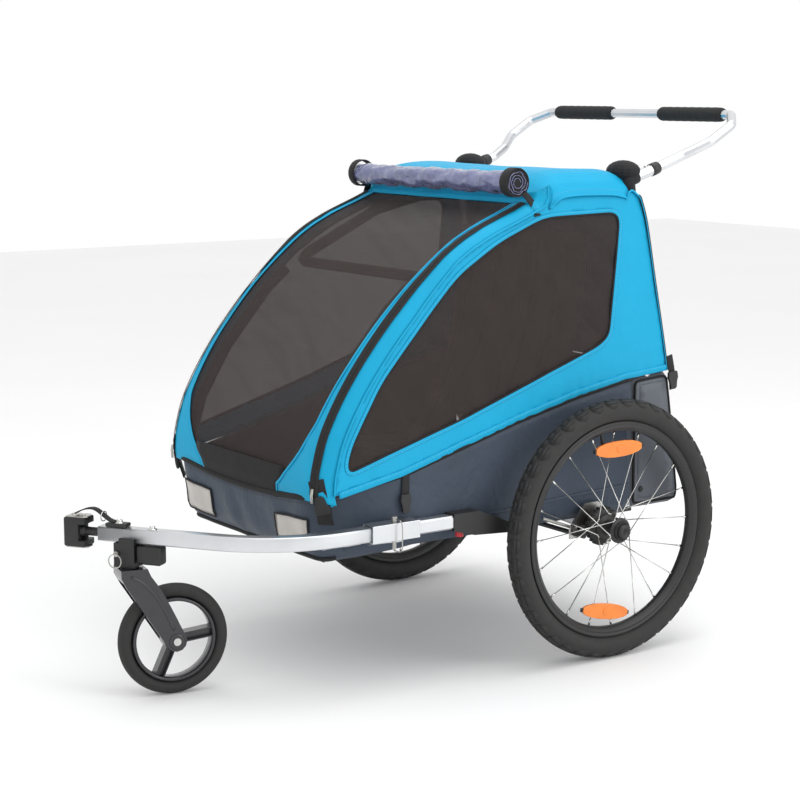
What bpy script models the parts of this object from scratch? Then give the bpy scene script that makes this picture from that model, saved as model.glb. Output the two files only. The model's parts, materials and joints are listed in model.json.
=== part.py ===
"""A two-seat child bicycle trailer, standing on its two spoked wheels and its stroller wheel.

An aluminium base frame carries the axle, a fabric tub and a sling seat. Rear uprights, a roof hoop and a
front arch hold the canopy up, and fold down onto the base. The tow arm bends across the nose from the
left side, ends in a ball hitch for a bicycle, and here also carries the swivelling stroller wheel.

Metres, +Z up, -Y is forward and +X is the trailer's left side. Positions along Y are given from the wheel
axle, and AXLE_Y moves them so that the origin is under the middle of the whole object.
"""

import math

import bmesh
import bpy
from mathutils import Matrix, Vector

# Driving dimensions
AXLE_Y = 0.2943
WHEEL_RADIUS = 0.250
TYRE_RADIUS = 0.022
HALF_TRACK = 0.3575
AXLE_Z = WHEEL_RADIUS
SPOKE_COUNT = 20
FABRIC_HALF_WIDTH = 0.288
FABRIC = 0.0025
OPENING_X = 0.238
GAP = 0.0003

# Frame tubes, each in its own layer across the trailer so that they pass each other as they fold
RAIL_RADIUS = 0.0115
RAIL_X = 0.2685
RAIL_Z = 0.275
RAIL_FRONT = -0.575
RAIL_FRONT_X = 0.240
RAIL_REAR = 0.210
TUBE_RADIUS = 0.011
UPRIGHT_X = 0.270
HOOP_X = 0.243
ARCH_X = 0.2175

# Fold pivots, as (y from the axle, z)
UPRIGHT_FOOT = (0.180, 0.302)
UPRIGHT_TOP = (0.100, 0.885)
ARCH_FOOT = (-0.575, 0.302)
HOOP_FRONT = (-0.335, 0.735)

# Handlebar
STUB_BEND = (0.098, 0.904)
STUB_END = (0.170, 0.926)
BAR_RADIUS = 0.0095
GRIP_Y = 0.356
GRIP_Z = 1.026
GRIP_RADIUS = 0.0145
GRIP_INNER_X = 0.074
GRIP_OUTER_X = 0.264

# Tow arm: a straight run alongside the body, one bend, and a diagonal run to the hitch
ARM_X = 0.306
ARM_Z = 0.299
ARM_TIP = Vector((0.0222, -0.907))
ARM_ALONG = Vector((0.8146, 0.5800)).normalized()
ARM_HALF = 0.013
ARM_BEND = 0.130
ARM_END = -0.450
SLEEVE = (-0.526, -0.424)
PIN_Y = -0.470

# Stroller wheel
CASTER_REACH = 0.057
CASTER_SWIVEL = math.radians(-11.2)
CASTER_TRAIL = 0.075
CASTER_RADIUS = 0.1016

# The canopy's side outline, as (y from the axle, z): the belt, up the front, over the roof, down the back
BELT = [(-0.607, 0.362), (-0.443, 0.393), (-0.181, 0.468), (-0.040, 0.502), (0.085, 0.525), (0.203, 0.535)]
FRONT_CURVE = [
    (-0.614, 0.374),
    (-0.609, 0.418),
    (-0.585, 0.491),
    (-0.525, 0.588),
    (-0.434, 0.694),
    (-0.334, 0.779),
    (-0.259, 0.823),
    (-0.148, 0.869),
]
ROOF = [(-0.140, 0.892), (-0.085, 0.924), (0.030, 0.927), (0.090, 0.918), (0.118, 0.900)]
BACK = [(0.125, 0.875), (0.142, 0.825), (0.165, 0.717), (0.191, 0.597)]

# How far the outline is drawn in at each distance from the middle: lower front, upper front, roof, back
CANOPY_LAYERS = [
    (0.236, 0.000, 0.000, 0.000, 0.000),
    (0.257, 0.000, 0.000, 0.007, 0.001),
    (0.276, 0.013, 0.003, 0.024, 0.004),
    (0.288, 0.030, 0.017, 0.048, 0.012),
]
TUB_BOTTOM = [(0.1000, 0.2585), (-0.410, 0.2585), (-0.515, 0.241), (-0.570, 0.236), (-0.598, 0.275)]
BAG_OUTLINE = [(0.1003, 0.5259), (0.203, 0.5346), (0.214, 0.467), (0.238, 0.285), (0.230, 0.260), (0.1003, 0.2585)]
WINDOW = [
    (-0.118, 0.842),
    (0.066, 0.846),
    (0.044, 0.610),
    (0.014, 0.590),
    (-0.300, 0.482),
    (-0.559, 0.406),
    (-0.549, 0.450),
    (-0.484, 0.562),
    (-0.387, 0.670),
    (-0.318, 0.743),
    (-0.224, 0.800),
]

for leftover in list(bpy.data.objects):
    bpy.data.objects.remove(leftover)
trailer = bpy.data.collections.new("child_bicycle_trailer")
cutters = bpy.data.collections.new("cutters")
bpy.context.scene.collection.children.link(trailer)
bpy.context.scene.collection.children.link(cutters)


def finish(name, colour, roughness, metallic=0.0):
    """A plain material of one colour."""
    made = bpy.data.materials.new(name)
    made.use_nodes = True
    shader = made.node_tree.nodes["Principled BSDF"]
    shader.inputs["Base Color"].default_value = (*colour, 1)
    shader.inputs["Roughness"].default_value = roughness
    shader.inputs["Metallic"].default_value = metallic
    made.diffuse_color = (*colour, 1)
    return made


aluminium = finish("anodised_aluminium", (0.66, 0.67, 0.69), 0.32, 1.0)
steel = finish("zinc_steel", (0.60, 0.60, 0.60), 0.30, 1.0)
black_plastic = finish("black_plastic", (0.018, 0.017, 0.018), 0.45)
red_plastic = finish("red_plastic", (0.50, 0.012, 0.016), 0.40)
amber_plastic = finish("amber_reflector", (0.90, 0.30, 0.010), 0.20)
rubber = finish("tyre_rubber", (0.022, 0.021, 0.022), 0.70)
foam = finish("grip_foam", (0.020, 0.019, 0.020), 0.90)
blue_fabric = finish("blue_fabric", (0.012, 0.380, 0.620), 0.75)
grey_fabric = finish("grey_fabric", (0.055, 0.070, 0.090), 0.80)
black_mesh = finish("black_mesh", (0.020, 0.018, 0.018), 0.85)
seat_fabric = finish("seat_fabric", (0.050, 0.050, 0.055), 0.85)
clear_film = finish("clear_film", (0.55, 0.55, 0.62), 0.12)
webbing = finish("black_webbing", (0.018, 0.018, 0.018), 0.80)


def place(x, y, z):
    """A point whose y is measured from the wheel axle."""
    return Vector((x, y + AXLE_Y, z))


def joint(name, location, turn=0.0):
    """An empty on a joint's axis, which the moving pieces are parented to."""
    empty = bpy.data.objects.new(name, None)
    empty.location = location
    empty.rotation_euler = (0, 0, turn)
    trailer.objects.link(empty)
    bpy.context.view_layer.update()
    return empty


def moves_with(empty, *pieces):
    """Parents pieces that are already in place to the empty."""
    for piece in pieces:
        piece.parent = empty
        piece.matrix_parent_inverse = empty.matrix_world.inverted()


def add(name, data, material):
    piece = bpy.data.objects.new(name, data)
    data.materials.append(material)
    trailer.objects.link(piece)
    return piece


def from_bmesh(name, shape, material, smooth=False):
    data = bpy.data.meshes.new(name)
    shape.to_mesh(data)
    shape.free()
    if smooth:
        data.shade_smooth()
        data.set_sharp_from_angle(angle=math.radians(40))
    return add(name, data, material)


def box(name, low, high, material, round_by=0.0):
    """A box between two corners, its edges rounded by the given radius."""
    low, high = Vector(low), Vector(high)
    shape = bmesh.new()
    bmesh.ops.create_cube(shape, size=1)
    bmesh.ops.scale(shape, vec=high - low, verts=shape.verts)
    piece = from_bmesh(name, shape, material)
    piece.location = (low + high) / 2
    if round_by:
        rounding = piece.modifiers.new("rounded_edges", "BEVEL")
        rounding.width = round_by
        rounding.segments = 2
    return piece


def cylinder(name, start, end, radius, material, sides=16, end_radius=None):
    """A rod, or a cone, between two points."""
    start, end = Vector(start), Vector(end)
    along = end - start
    shape = bmesh.new()
    bmesh.ops.create_cone(
        shape,
        cap_ends=True,
        segments=sides,
        radius1=radius,
        radius2=radius if end_radius is None else end_radius,
        depth=along.length,
    )
    piece = from_bmesh(name, shape, material, smooth=True)
    piece.rotation_euler = along.to_track_quat("Z", "Y").to_euler()
    piece.location = (start + end) / 2
    return piece


def rounded_path(corners, radius, steps=4):
    """The corners joined by straight runs, with each bend an arc of the given radius."""
    corners = [Vector(corner) for corner in corners]
    points = [corners[0]]
    for before, corner, after in zip(corners, corners[1:], corners[2:]):
        back = (before - corner).normalized()
        on = (after - corner).normalized()
        half = back.angle(on) / 2
        centre = corner + (back + on).normalized() * radius / math.sin(half)
        first = (corner + back * radius / math.tan(half) - centre).normalized()
        last = (corner + on * radius / math.tan(half) - centre).normalized()
        points += [centre + first.slerp(last, i / steps) * radius for i in range(steps + 1)]
    return points + [corners[-1]]


def tube(name, points, radius, material, resolution=3):
    """A round tube or rod along the points, with closed ends."""
    curve = bpy.data.curves.new(name, "CURVE")
    curve.dimensions = "3D"
    curve.bevel_depth = radius
    curve.bevel_resolution = resolution
    curve.use_fill_caps = True
    spline = curve.splines.new("POLY")
    spline.points.add(len(points) - 1)
    for point, position in zip(spline.points, points):
        point.co = (*position, 1)
    return add(name, curve, material)


def square_tube(name, points, half, material):
    """A square bar with rounded corners along the points. The last corner of its section is up."""
    section = bpy.data.curves.new(name + "_section", "CURVE")
    section.dimensions = "2D"
    chamfer = 0.25 * half
    outline = [(half, half - chamfer), (half - chamfer, half)]
    outline = [(x * a - y * b, x * b + y * a) for a, b in ((1, 0), (0, 1), (-1, 0), (0, -1)) for x, y in outline]
    spline = section.splines.new("POLY")
    spline.points.add(len(outline) - 1)
    spline.use_cyclic_u = True
    for point, (x, y) in zip(spline.points, outline):
        point.co = (x, y, 0, 1)
    guide = bpy.data.objects.new(name + "_section", section)
    guide.hide_render = True
    guide.display_type = "WIRE"
    cutters.objects.link(guide)
    piece = tube(name, points, 0, material)
    piece.data.bevel_mode = "OBJECT"
    piece.data.bevel_object = guide
    piece.data.twist_mode = "Z_UP"
    return as_mesh(piece)


def plate(name, outline, half_width, material, x=0.0):
    """A flat piece that lies in the YZ plane at x. The outline's points are (y from the axle, z)."""
    curve = bpy.data.curves.new(name, "CURVE")
    curve.dimensions = "2D"
    curve.fill_mode = "BOTH"
    curve.extrude = half_width
    spline = curve.splines.new("POLY")
    spline.points.add(len(outline) - 1)
    spline.use_cyclic_u = True
    for point, (y, z) in zip(spline.points, outline):
        point.co = (y, z, 0, 1)
    piece = add(name, curve, material)
    piece.rotation_euler = (math.pi / 2, 0, math.pi / 2)
    piece.location = place(x, 0, 0)
    return piece


def flat_plate(name, outline, low, high, material):
    """A flat piece whose outline's points are (x, y from the axle), from height low to height high."""
    curve = bpy.data.curves.new(name, "CURVE")
    curve.dimensions = "2D"
    curve.fill_mode = "BOTH"
    curve.extrude = (high - low) / 2
    spline = curve.splines.new("POLY")
    spline.points.add(len(outline) - 1)
    spline.use_cyclic_u = True
    for point, (x, y) in zip(spline.points, outline):
        point.co = (x, y, 0, 1)
    piece = add(name, curve, material)
    piece.location = place(0, 0, (low + high) / 2)
    return piece


def turned(name, profile, centre, outboard, material, steps=32):
    """A shape turned about an axle along X. The profile's points are (radius, distance outboard of centre)."""
    shape = bmesh.new()
    ring = [shape.verts.new((radius, 0, outward)) for radius, outward in profile]
    closed = profile[0][0] > 0
    for first, second in zip(ring, ring[1:] + ring[:1] if closed else ring[1:]):
        shape.edges.new((first, second))
    piece = from_bmesh(name, shape, material)
    piece.rotation_euler = (0, math.radians(90) * outboard, 0)
    piece.location = centre
    turning = piece.modifiers.new("turned", "SCREW")
    turning.steps = steps
    turning.render_steps = steps
    turning.use_merge_vertices = True
    turning.merge_threshold = 0.00001
    turning.use_smooth_shade = True
    return piece


def as_mesh(piece):
    """The same piece as a welded mesh, which a Boolean can cut or join."""
    bpy.context.view_layer.update()
    graph = bpy.context.evaluated_depsgraph_get()
    data = bpy.data.meshes.new_from_object(piece.evaluated_get(graph))
    shape = bmesh.new()
    shape.from_mesh(data)
    bmesh.ops.remove_doubles(shape, verts=shape.verts, dist=0.00001)
    bmesh.ops.recalc_face_normals(shape, faces=shape.faces)
    shape.to_mesh(data)
    shape.free()
    name, where = piece.name, piece.matrix_world.copy()
    bpy.data.objects.remove(piece)
    made = bpy.data.objects.new(name, data)
    trailer.objects.link(made)
    made.matrix_world = where
    return made


def combine(target, operation, *others):
    """Joins the others to the target, cuts them from it, or keeps what they share."""
    for other in others:
        if other.type == "CURVE":
            other = as_mesh(other)
        trailer.objects.unlink(other)
        cutters.objects.link(other)
        other.hide_render = True
        other.display_type = "WIRE"
        change = target.modifiers.new(other.name, "BOOLEAN")
        change.operation = operation
        change.object = other
    return target


def inset(outline, distance):
    """A closed outline whose every side is moved inwards by the distance."""
    points = [Vector(point) for point in outline]
    area = sum(a.x * b.y - b.x * a.y for a, b in zip(points, points[1:] + points[:1]))
    side = 1 if area > 0 else -1
    moved = []
    for before, point, after in zip(points[-1:] + points[:-1], points, points[1:] + points[:1]):
        into = (point - before).normalized()
        out = (after - point).normalized()
        normal = Vector((-into.y - out.y, into.x + out.x)).normalized() * side
        lean = max(0.35, normal.dot(Vector((-into.y, into.x)) * side))
        moved.append(tuple(point + normal * distance / lean))
    return moved


def on_both_sides(make):
    """Calls make("left", 1) and make("right", -1)."""
    return make("left", 1), make("right", -1)


def arm_point(reach, aside=0.0, z=ARM_Z):
    """A point on the arm's diagonal run, by its distance back from the tip and to the rear side of it."""
    flat = ARM_TIP + ARM_ALONG * reach + Vector((-ARM_ALONG.y, ARM_ALONG.x)) * aside
    return place(flat.x, flat.y, z)


# --- Base frame ---------------------------------------------------------------------------------------


def side_rail(side, sign):
    """A base tube that runs in towards the nose, with the lug that the rear upright's foot turns against."""
    corners = [
        place(RAIL_X * sign, RAIL_REAR, RAIL_Z),
        place(RAIL_X * sign, -0.440, RAIL_Z),
        place(RAIL_FRONT_X * sign, RAIL_FRONT - 0.007, RAIL_Z),
    ]
    rail = as_mesh(tube(f"side_rail_{side}", corners, RAIL_RADIUS, aluminium))
    y, z = UPRIGHT_FOOT
    low, high = sorted((0.2545 * sign, 0.2582 * sign))
    lug = box(f"lug_{side}", place(low, y - 0.009, RAIL_Z), place(high, y + 0.009, z + 0.010), aluminium)
    return combine(rail, "UNION", lug)


def axle_bracket(side, sign):
    """The plate at the axle tube's end, with the stub axle that the wheel pushes onto."""
    outline = [(0.026, 0.228), (0.026, 0.280), (0.010, 0.292), (-0.022, 0.292), (-0.058, 0.248), (-0.058, 0.226)]
    bracket = as_mesh(plate(f"axle_bracket_{side}", outline, 0.0025, steel, 0.2985 * sign))
    stub = cylinder(f"stub_axle_{side}", place(0.2985 * sign, 0, AXLE_Z), place(0.352 * sign, 0, AXLE_Z), 0.006, steel)
    stay = cylinder(
        f"stay_{side}", place(0.2985 * sign, -0.012, 0.2330), place(0.2925 * sign, -0.120, 0.2730), 0.0033, steel, 10
    )
    combine(bracket, "UNION", stub, stay)
    bore = cylinder(
        f"shaft_hole_{side}", place(0.29 * sign, BRAKE_Y, BRAKE_Z), place(0.31 * sign, BRAKE_Y, BRAKE_Z), 0.0055, steel
    )
    return combine(bracket, "DIFFERENCE", bore)


BRAKE_Y = -0.0475
BRAKE_Z = 0.236

on_both_sides(side_rail)
on_both_sides(axle_bracket)
cylinder(
    "front_cross_tube", place(-0.2275, RAIL_FRONT, RAIL_Z), place(0.2275, RAIL_FRONT, RAIL_Z), RAIL_RADIUS, aluminium
)
cylinder("axle_tube", place(-0.2955, 0, 0.2475), place(0.2955, 0, 0.2475), 0.0100, aluminium)

# --- Fabric body --------------------------------------------------------------------------------------

WIDE = FABRIC_HALF_WIDTH
PLAN = [(WIDE, 0.260), (WIDE, -0.640), (-WIDE, -0.640), (-WIDE, 0.260)]
NOSE_PLAN = [
    (WIDE, 0.260), (WIDE, -0.440), (0.270, -0.560), (0.255, -0.598), (0.225, -0.612),
    (-0.225, -0.612), (-0.255, -0.598), (-0.270, -0.560), (-WIDE, -0.440), (-WIDE, 0.260),
]  # fmt: skip


def shell(name, side_outline, plan, inner_outline, material):
    """A hollow body with that side outline, whose width follows the plan, with walls of fabric."""
    body = as_mesh(plate(name, side_outline, WIDE + 0.02, material))
    combine(body, "INTERSECT", flat_plate(name + "_plan", plan, 0.1, 1.1, material))
    hollow = as_mesh(plate(name + "_hollow", inner_outline, WIDE + 0.01, material))
    combine(hollow, "INTERSECT", flat_plate(name + "_hollow_plan", inset(plan, FABRIC), 0.1, 1.1, material))
    return combine(body, "DIFFERENCE", hollow)


belt_gap = [(y, z - GAP) for y, z in BELT]
tub_outline = [(y, z) for y, z in belt_gap if y < 0.1] + [(0.1000, 0.5259)] + TUB_BOTTOM
tub_hollow = (
    [(-0.607 + FABRIC, 0.362), (-0.607 + FABRIC, 0.60), (0.1200, 0.60), (0.1200, 0.2585 + FABRIC)]
    + [(-0.409, 0.2585 + FABRIC), (-0.514, 0.241 + FABRIC), (-0.5675, 0.236 + FABRIC), (-0.5955, 0.277)]
)  # fmt: skip
shell("lower_body", tub_outline, NOSE_PLAN, tub_hollow, grey_fabric)

bag_hollow = [
    (0.0900, 0.60), (0.1930, 0.60), (0.2115, 0.467), (0.2352, 0.2855), (0.2280, 0.2626), (0.0900, 0.2610)
]  # fmt: skip
shell("cargo_bag", BAG_OUTLINE, PLAN, bag_hollow, grey_fabric)



def canopy_layer(front, upper, roof, back, floor=None):
    """The canopy's side outline with its stretches drawn in by those amounts, and with a lower edge or a floor."""
    below = [BELT[0], BELT[-1]] if floor else BELT
    outline = below + BACK[::-1] + ROOF[::-1] + FRONT_CURVE[::-1]
    shifts = [front] + [0] * (len(below) - 2) + [back] * (1 + len(BACK)) + [roof] * len(ROOF)
    shifts += [upper] * 3 + [front] * 5
    shifted = [inset(outline, shift)[i] if shift else outline[i] for i, shift in enumerate(shifts)]
    return [(y, z if i >= len(below) else floor or outline[i][1]) for i, (y, z) in enumerate(shifted)]


def lofted(name, layers, material):
    """A solid through outlines in the YZ plane. Each layer is (x, outline), and it is mirrored about x = 0."""
    layers = [(-x, outline) for x, outline in layers[::-1]] + layers
    shape = bmesh.new()
    rings = [[shape.verts.new(place(x, y, z)) for y, z in outline] for x, outline in layers]
    for ring, following in zip(rings, rings[1:]):
        for i in range(len(ring)):
            shape.faces.new((ring[i - 1], ring[i], following[i], following[i - 1]))
    shape.faces.new(rings[0])
    shape.faces.new(rings[-1][::-1])
    bmesh.ops.recalc_face_normals(shape, faces=shape.faces)
    bmesh.ops.triangulate(shape, faces=shape.faces)
    return from_bmesh(name, shape, material)


outside = [(x, canopy_layer(*shifts)) for x, *shifts in CANOPY_LAYERS]
inside = [(x, canopy_layer(*[shift + FABRIC for shift in shifts], 0.30)) for x, *shifts in CANOPY_LAYERS]
inside[-1] = (WIDE - FABRIC, inside[-1][1])
canopy = lofted("canopy_shell", outside, blue_fabric)
combine(canopy, "DIFFERENCE", lofted("canopy_hollow", inside, blue_fabric))
front_opening = (
    [(-0.700, 0.30)]
    + [(y - 0.03, z + 0.03) for y, z in FRONT_CURVE]
    + [(-0.142, 0.930), (-0.142, 0.800)]
    + [(y + 0.02, z - 0.03) for y, z in FRONT_CURVE[-2:1:-1]]
    + [(-0.560, 0.30)]
)
window_cut = as_mesh(plate("window_cut", WINDOW, WIDE + 0.05, blue_fabric))
front_cut = as_mesh(plate("front_cut", front_opening, OPENING_X, blue_fabric))
combine(canopy, "DIFFERENCE", front_cut, window_cut)
for sign in (1, -1):
    corner = sorted((0.205 * sign, 0.30 * sign))
    combine(
        canopy, "DIFFERENCE", box(f"corner_cut_{sign}", place(corner[0], 0.072, 0.872), place(corner[1], 0.2, 0.96), blue_fabric)
    )  # fmt: skip


def side_window(side, sign):
    return plate(f"side_window_{side}", inset(WINDOW, GAP), FABRIC / 2, black_mesh, (WIDE - FABRIC / 2) * sign)


on_both_sides(side_window)


def curved_sheet(name, line, half_width, thickness, material):
    """A sheet that follows a line in the YZ plane and is straight across the trailer."""
    shape = bmesh.new()
    rows = [[shape.verts.new(place(x, y, z)) for x in (-half_width, half_width)] for y, z in line]
    for (a, b), (c, d) in zip(rows, rows[1:]):
        shape.faces.new((a, b, d, c))
    piece = from_bmesh(name, shape, material)
    wall = piece.modifiers.new("thickness", "SOLIDIFY")
    wall.thickness = thickness
    wall.offset = 0
    return piece


mesh_line = [(y + 0.002, z - 0.002) for y, z in FRONT_CURVE[:-1]] + [(-0.190, 0.848)]
curved_sheet("front_mesh", mesh_line, OPENING_X - GAP, 0.0020, black_mesh)
cylinder("rain_cover_roll", place(-0.258, -0.175, 0.907), place(0.283, -0.175, 0.907), 0.0260, clear_film, sides=20)
curved_sheet(
    "seat_back", [(0.062, 0.810), (0.040, 0.660), (0.012, 0.520), (-0.020, 0.400)], 0.215, 0.024, seat_fabric
)
curved_sheet("seat_bench", [(-0.040, 0.372), (-0.170, 0.352), (-0.300, 0.376)], 0.225, 0.024, seat_fabric)

# --- Folding frame ------------------------------------------------------------------------------------


def rear_upright(side, sign):
    """A tube from its foot up to the roof corner, where it bends back into the handlebar's socket."""
    x = UPRIGHT_X * sign
    corners = [place(x, *UPRIGHT_FOOT), place(x, *STUB_BEND), place(x, *STUB_END)]
    upright = as_mesh(tube(f"rear_upright_{side}", rounded_path(corners, 0.016), TUBE_RADIUS, aluminium, 4))
    bend, end = place(x, *STUB_BEND), place(x, *STUB_END)
    along = (end - bend).normalized()
    socket = cylinder(f"socket_{side}", end - along * 0.050, end + along * 0.01, BAR_RADIUS + GAP, aluminium)
    pivot = place(0, *UPRIGHT_TOP)
    pin = cylinder(
        f"hoop_pin_{side}", pivot + Vector((0.262 * sign, 0, 0)), pivot + Vector((0.2545 * sign, 0, 0)), 0.006, aluminium
    )  # fmt: skip
    combine(upright, "UNION", pin)
    return combine(upright, "DIFFERENCE", socket)


def corner_cap(side, sign):
    """The black cover over the bend at the roof corner."""
    shape = bmesh.new()
    bmesh.ops.create_uvsphere(shape, u_segments=16, v_segments=10, radius=1)
    bmesh.ops.scale(shape, vec=(0.038, 0.030, 0.022), verts=shape.verts)
    cap = from_bmesh(f"corner_cap_{side}", shape, black_plastic, smooth=True)
    cap.location = place(0.2465 * sign, 0.106, 0.9195)
    x = UPRIGHT_X * sign
    corners = [place(x, *UPRIGHT_FOOT), place(x, *STUB_BEND), place(x, *STUB_END)]
    passage = as_mesh(tube(f"cap_passage_{side}", rounded_path(corners, 0.016), TUBE_RADIUS + GAP, black_plastic, 4))
    return combine(cap, "DIFFERENCE", passage)


uprights = on_both_sides(rear_upright)
caps = on_both_sides(corner_cap)
cross_y = UPRIGHT_FOOT[0] + (STUB_BEND[0] - UPRIGHT_FOOT[0]) * 0.165
cross_tube = cylinder("upright_cross_tube", place(-0.2585, cross_y, 0.401), place(0.2585, cross_y, 0.401), 0.0095, aluminium)
fold = joint("frame_fold", place(0, *UPRIGHT_FOOT))
moves_with(fold, *uprights, *caps, cross_tube)

hoop_corners = [
    place(HOOP_X, *UPRIGHT_TOP),
    place(HOOP_X, -0.140, 0.830),
    place(HOOP_X, *HOOP_FRONT),
    place(-HOOP_X, *HOOP_FRONT),
    place(-HOOP_X, -0.140, 0.830),
    place(-HOOP_X, *UPRIGHT_TOP),
]
roof_hoop = tube("roof_hoop", rounded_path(hoop_corners, 0.045, 5), TUBE_RADIUS, aluminium)
moves_with(joint("hoop_hinge", place(0, *UPRIGHT_TOP)), roof_hoop)

arch_line = [(-0.374, 0.723), (-0.421, 0.683), (-0.511, 0.579), (-0.569, 0.484), (-0.591, 0.415)]
arch_corners = (
    [place(ARCH_X, y, z) for y, z in arch_line]
    + [place(ARCH_X, *ARCH_FOOT), place(-ARCH_X, *ARCH_FOOT)]
    + [place(-ARCH_X, y, z) for y, z in arch_line[::-1]]
)
front_arch = tube("front_arch", rounded_path(arch_corners, 0.030, 2), TUBE_RADIUS, aluminium, 2)
moves_with(joint("arch_hinge", place(0, *ARCH_FOOT)), front_arch)

# --- Handlebar ----------------------------------------------------------------------------------------

stub_along = (place(0, *STUB_END) - place(0, *STUB_BEND)).normalized()
bar_start = place(UPRIGHT_X, *STUB_END) - stub_along * 0.048
bar_half = [
    bar_start,
    place(UPRIGHT_X, *STUB_END) + stub_along * 0.018,
    place(0.284, 0.226, 0.950),
    place(0.314, 0.268, 0.975),
    place(0.316, 0.322, 1.007),
    place(0.280, GRIP_Y, GRIP_Z),
]
mirrored = [Vector((-point.x, point.y, point.z)) for point in bar_half]
handlebar = tube("handlebar", rounded_path(bar_half + mirrored[::-1], 0.019, 3), BAR_RADIUS, aluminium)


def grip(side, sign):
    """A foam sleeve on the crossbar."""
    inner = cylinder(f"grip_hole_{side}", place(0.05 * sign, GRIP_Y, GRIP_Z), place(0.29 * sign, GRIP_Y, GRIP_Z), 0.0100, foam)
    sleeve = cylinder(
        f"grip_{side}", place(GRIP_INNER_X * sign, GRIP_Y, GRIP_Z), place((GRIP_OUTER_X - 0.006) * sign, GRIP_Y, GRIP_Z), GRIP_RADIUS, foam
    )  # fmt: skip
    return combine(sleeve, "DIFFERENCE", inner)


moves_with(joint("handlebar_slide", place(0, *STUB_END)), handlebar, *on_both_sides(grip))

# --- Main wheels --------------------------------------------------------------------------------------

RIM_INNER = 0.1895
RIM_OUTER = 0.2055
RIM_HALF_WIDTH = 0.0125
RIM_PROFILE = [
    (RIM_OUTER, RIM_HALF_WIDTH),
    (RIM_OUTER, -RIM_HALF_WIDTH),
    (0.198, -RIM_HALF_WIDTH),
    (RIM_INNER, -0.006),
    (RIM_INNER, 0.006),
    (0.198, RIM_HALF_WIDTH),
]
FLANGE = {1: 0.0190, -1: -0.0200}
HUB_PROFILE = [
    (0.0152, 0.0120), (0.0152, 0.0300), (0.0176, 0.0300), (0.0176, 0.0215), (0.0245, 0.0210), (0.0245, 0.0170),
    (0.0130, 0.0150), (0.0130, -0.0180), (0.0245, -0.0180), (0.0245, -0.0220), (0.0180, -0.0240), (0.0180, -0.0275),
    (0.0385, -0.0280), (0.0385, -0.0380), (0.0180, -0.0385), (0.0180, -0.0440), (0.0066, -0.0440), (0.0066, 0.0040),
]  # fmt: skip
BUTTON_PROFILE = [(0, 0.0375), (0.0080, 0.0368), (0.0130, 0.0345), (0.0148, 0.0310), (0.0148, 0.0180), (0, 0.0180)]


def spoke_ends(index):
    """(hub end, rim end) of a spoke as (radius, angle, distance outboard). Neighbours lean opposite ways."""
    outboard = 1 if index % 2 == 0 else -1
    lean = math.radians(49) * (1 if index % 4 < 2 else -1)
    rim_angle = 2 * math.pi * index / SPOKE_COUNT
    return (0.0254, rim_angle + lean, FLANGE[outboard]), (RIM_INNER - 0.0012, rim_angle, 0.002 * outboard)


def spokes(side, sign, hub):
    """All the wheel's spokes, joined at their rim ends by the thin band of nipple seats."""
    shape = bmesh.new()
    for index in range(SPOKE_COUNT):
        ends = [
            Vector((sign * outward, radius * math.cos(angle), radius * math.sin(angle)))
            for radius, angle, outward in spoke_ends(index)
        ]
        along = ends[1] - ends[0]
        turn = along.to_track_quat("Z", "Y").to_matrix().to_4x4()
        bmesh.ops.create_cone(
            shape,
            cap_ends=True,
            segments=6,
            radius1=0.0012,
            radius2=0.0012,
            depth=along.length,
            matrix=Matrix.Translation((ends[0] + ends[1]) / 2) @ turn,
        )
    lacing = from_bmesh(f"spokes_{side}", shape, steel)
    lacing.location = hub
    outer, inner = RIM_INNER - GAP, RIM_INNER - 0.0018
    band = turned(
        f"nipple_band_{side}", [(outer, 0.004), (outer, -0.004), (inner, -0.004), (inner, 0.004)], hub, sign, steel, 40
    )
    joined = combine(lacing, "UNION", band)
    joined.modifiers[-1].use_self = True
    return joined


def reflector(side, sign, number):
    """An amber plate clipped across the spokes, above or below the hub."""
    half = [(-0.0590, -0.0045), (-0.0400, -0.0125), (-0.0150, -0.0155)]
    half += [(-x, height) for x, height in half[::-1]]
    outline = half + [(-x, -height) for x, height in half]
    turn = math.radians((0.5, 169.5)[number])
    outline = [
        (x * math.cos(turn) - (z + 0.157) * math.sin(turn), x * math.sin(turn) + (z + 0.157) * math.cos(turn))
        for x, z in outline
    ]
    piece = plate(f"reflector_{side}_{number + 1}", [(y, z + AXLE_Z) for y, z in outline], 0.003, amber_plastic)
    piece.location = place(sign * (HALF_TRACK + 0.0135), 0, 0)
    return as_mesh(piece)


def wheel(side, sign):
    hub = place(sign * HALF_TRACK, 0, AXLE_Z)
    middle = WHEEL_RADIUS - TYRE_RADIUS
    section = [
        (middle + TYRE_RADIUS * math.sin(math.pi * i / 10), TYRE_RADIUS * math.cos(math.pi * i / 10))
        for i in range(1, 20, 2)
    ]
    tyre = turned(f"tyre_{side}", section, hub, sign, rubber, 48)
    rim = turned(f"rim_{side}", RIM_PROFILE, hub, sign, black_plastic, 40)
    body = turned(f"hub_{side}", HUB_PROFILE, hub, sign, black_plastic, 24)
    reflectors = [reflector(side, sign, number) for number in (0, 1)]
    axis = joint(f"wheel_{side}_spin", hub)
    moves_with(axis, tyre, rim, body, spokes(side, sign, hub), *reflectors)
    button = turned(f"hub_button_{side}", BUTTON_PROFILE, hub, sign, black_plastic, 20)
    moves_with(joint(f"hub_button_{side}_press", hub), button)


on_both_sides(wheel)

# --- Parking brake ------------------------------------------------------------------------------------


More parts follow.
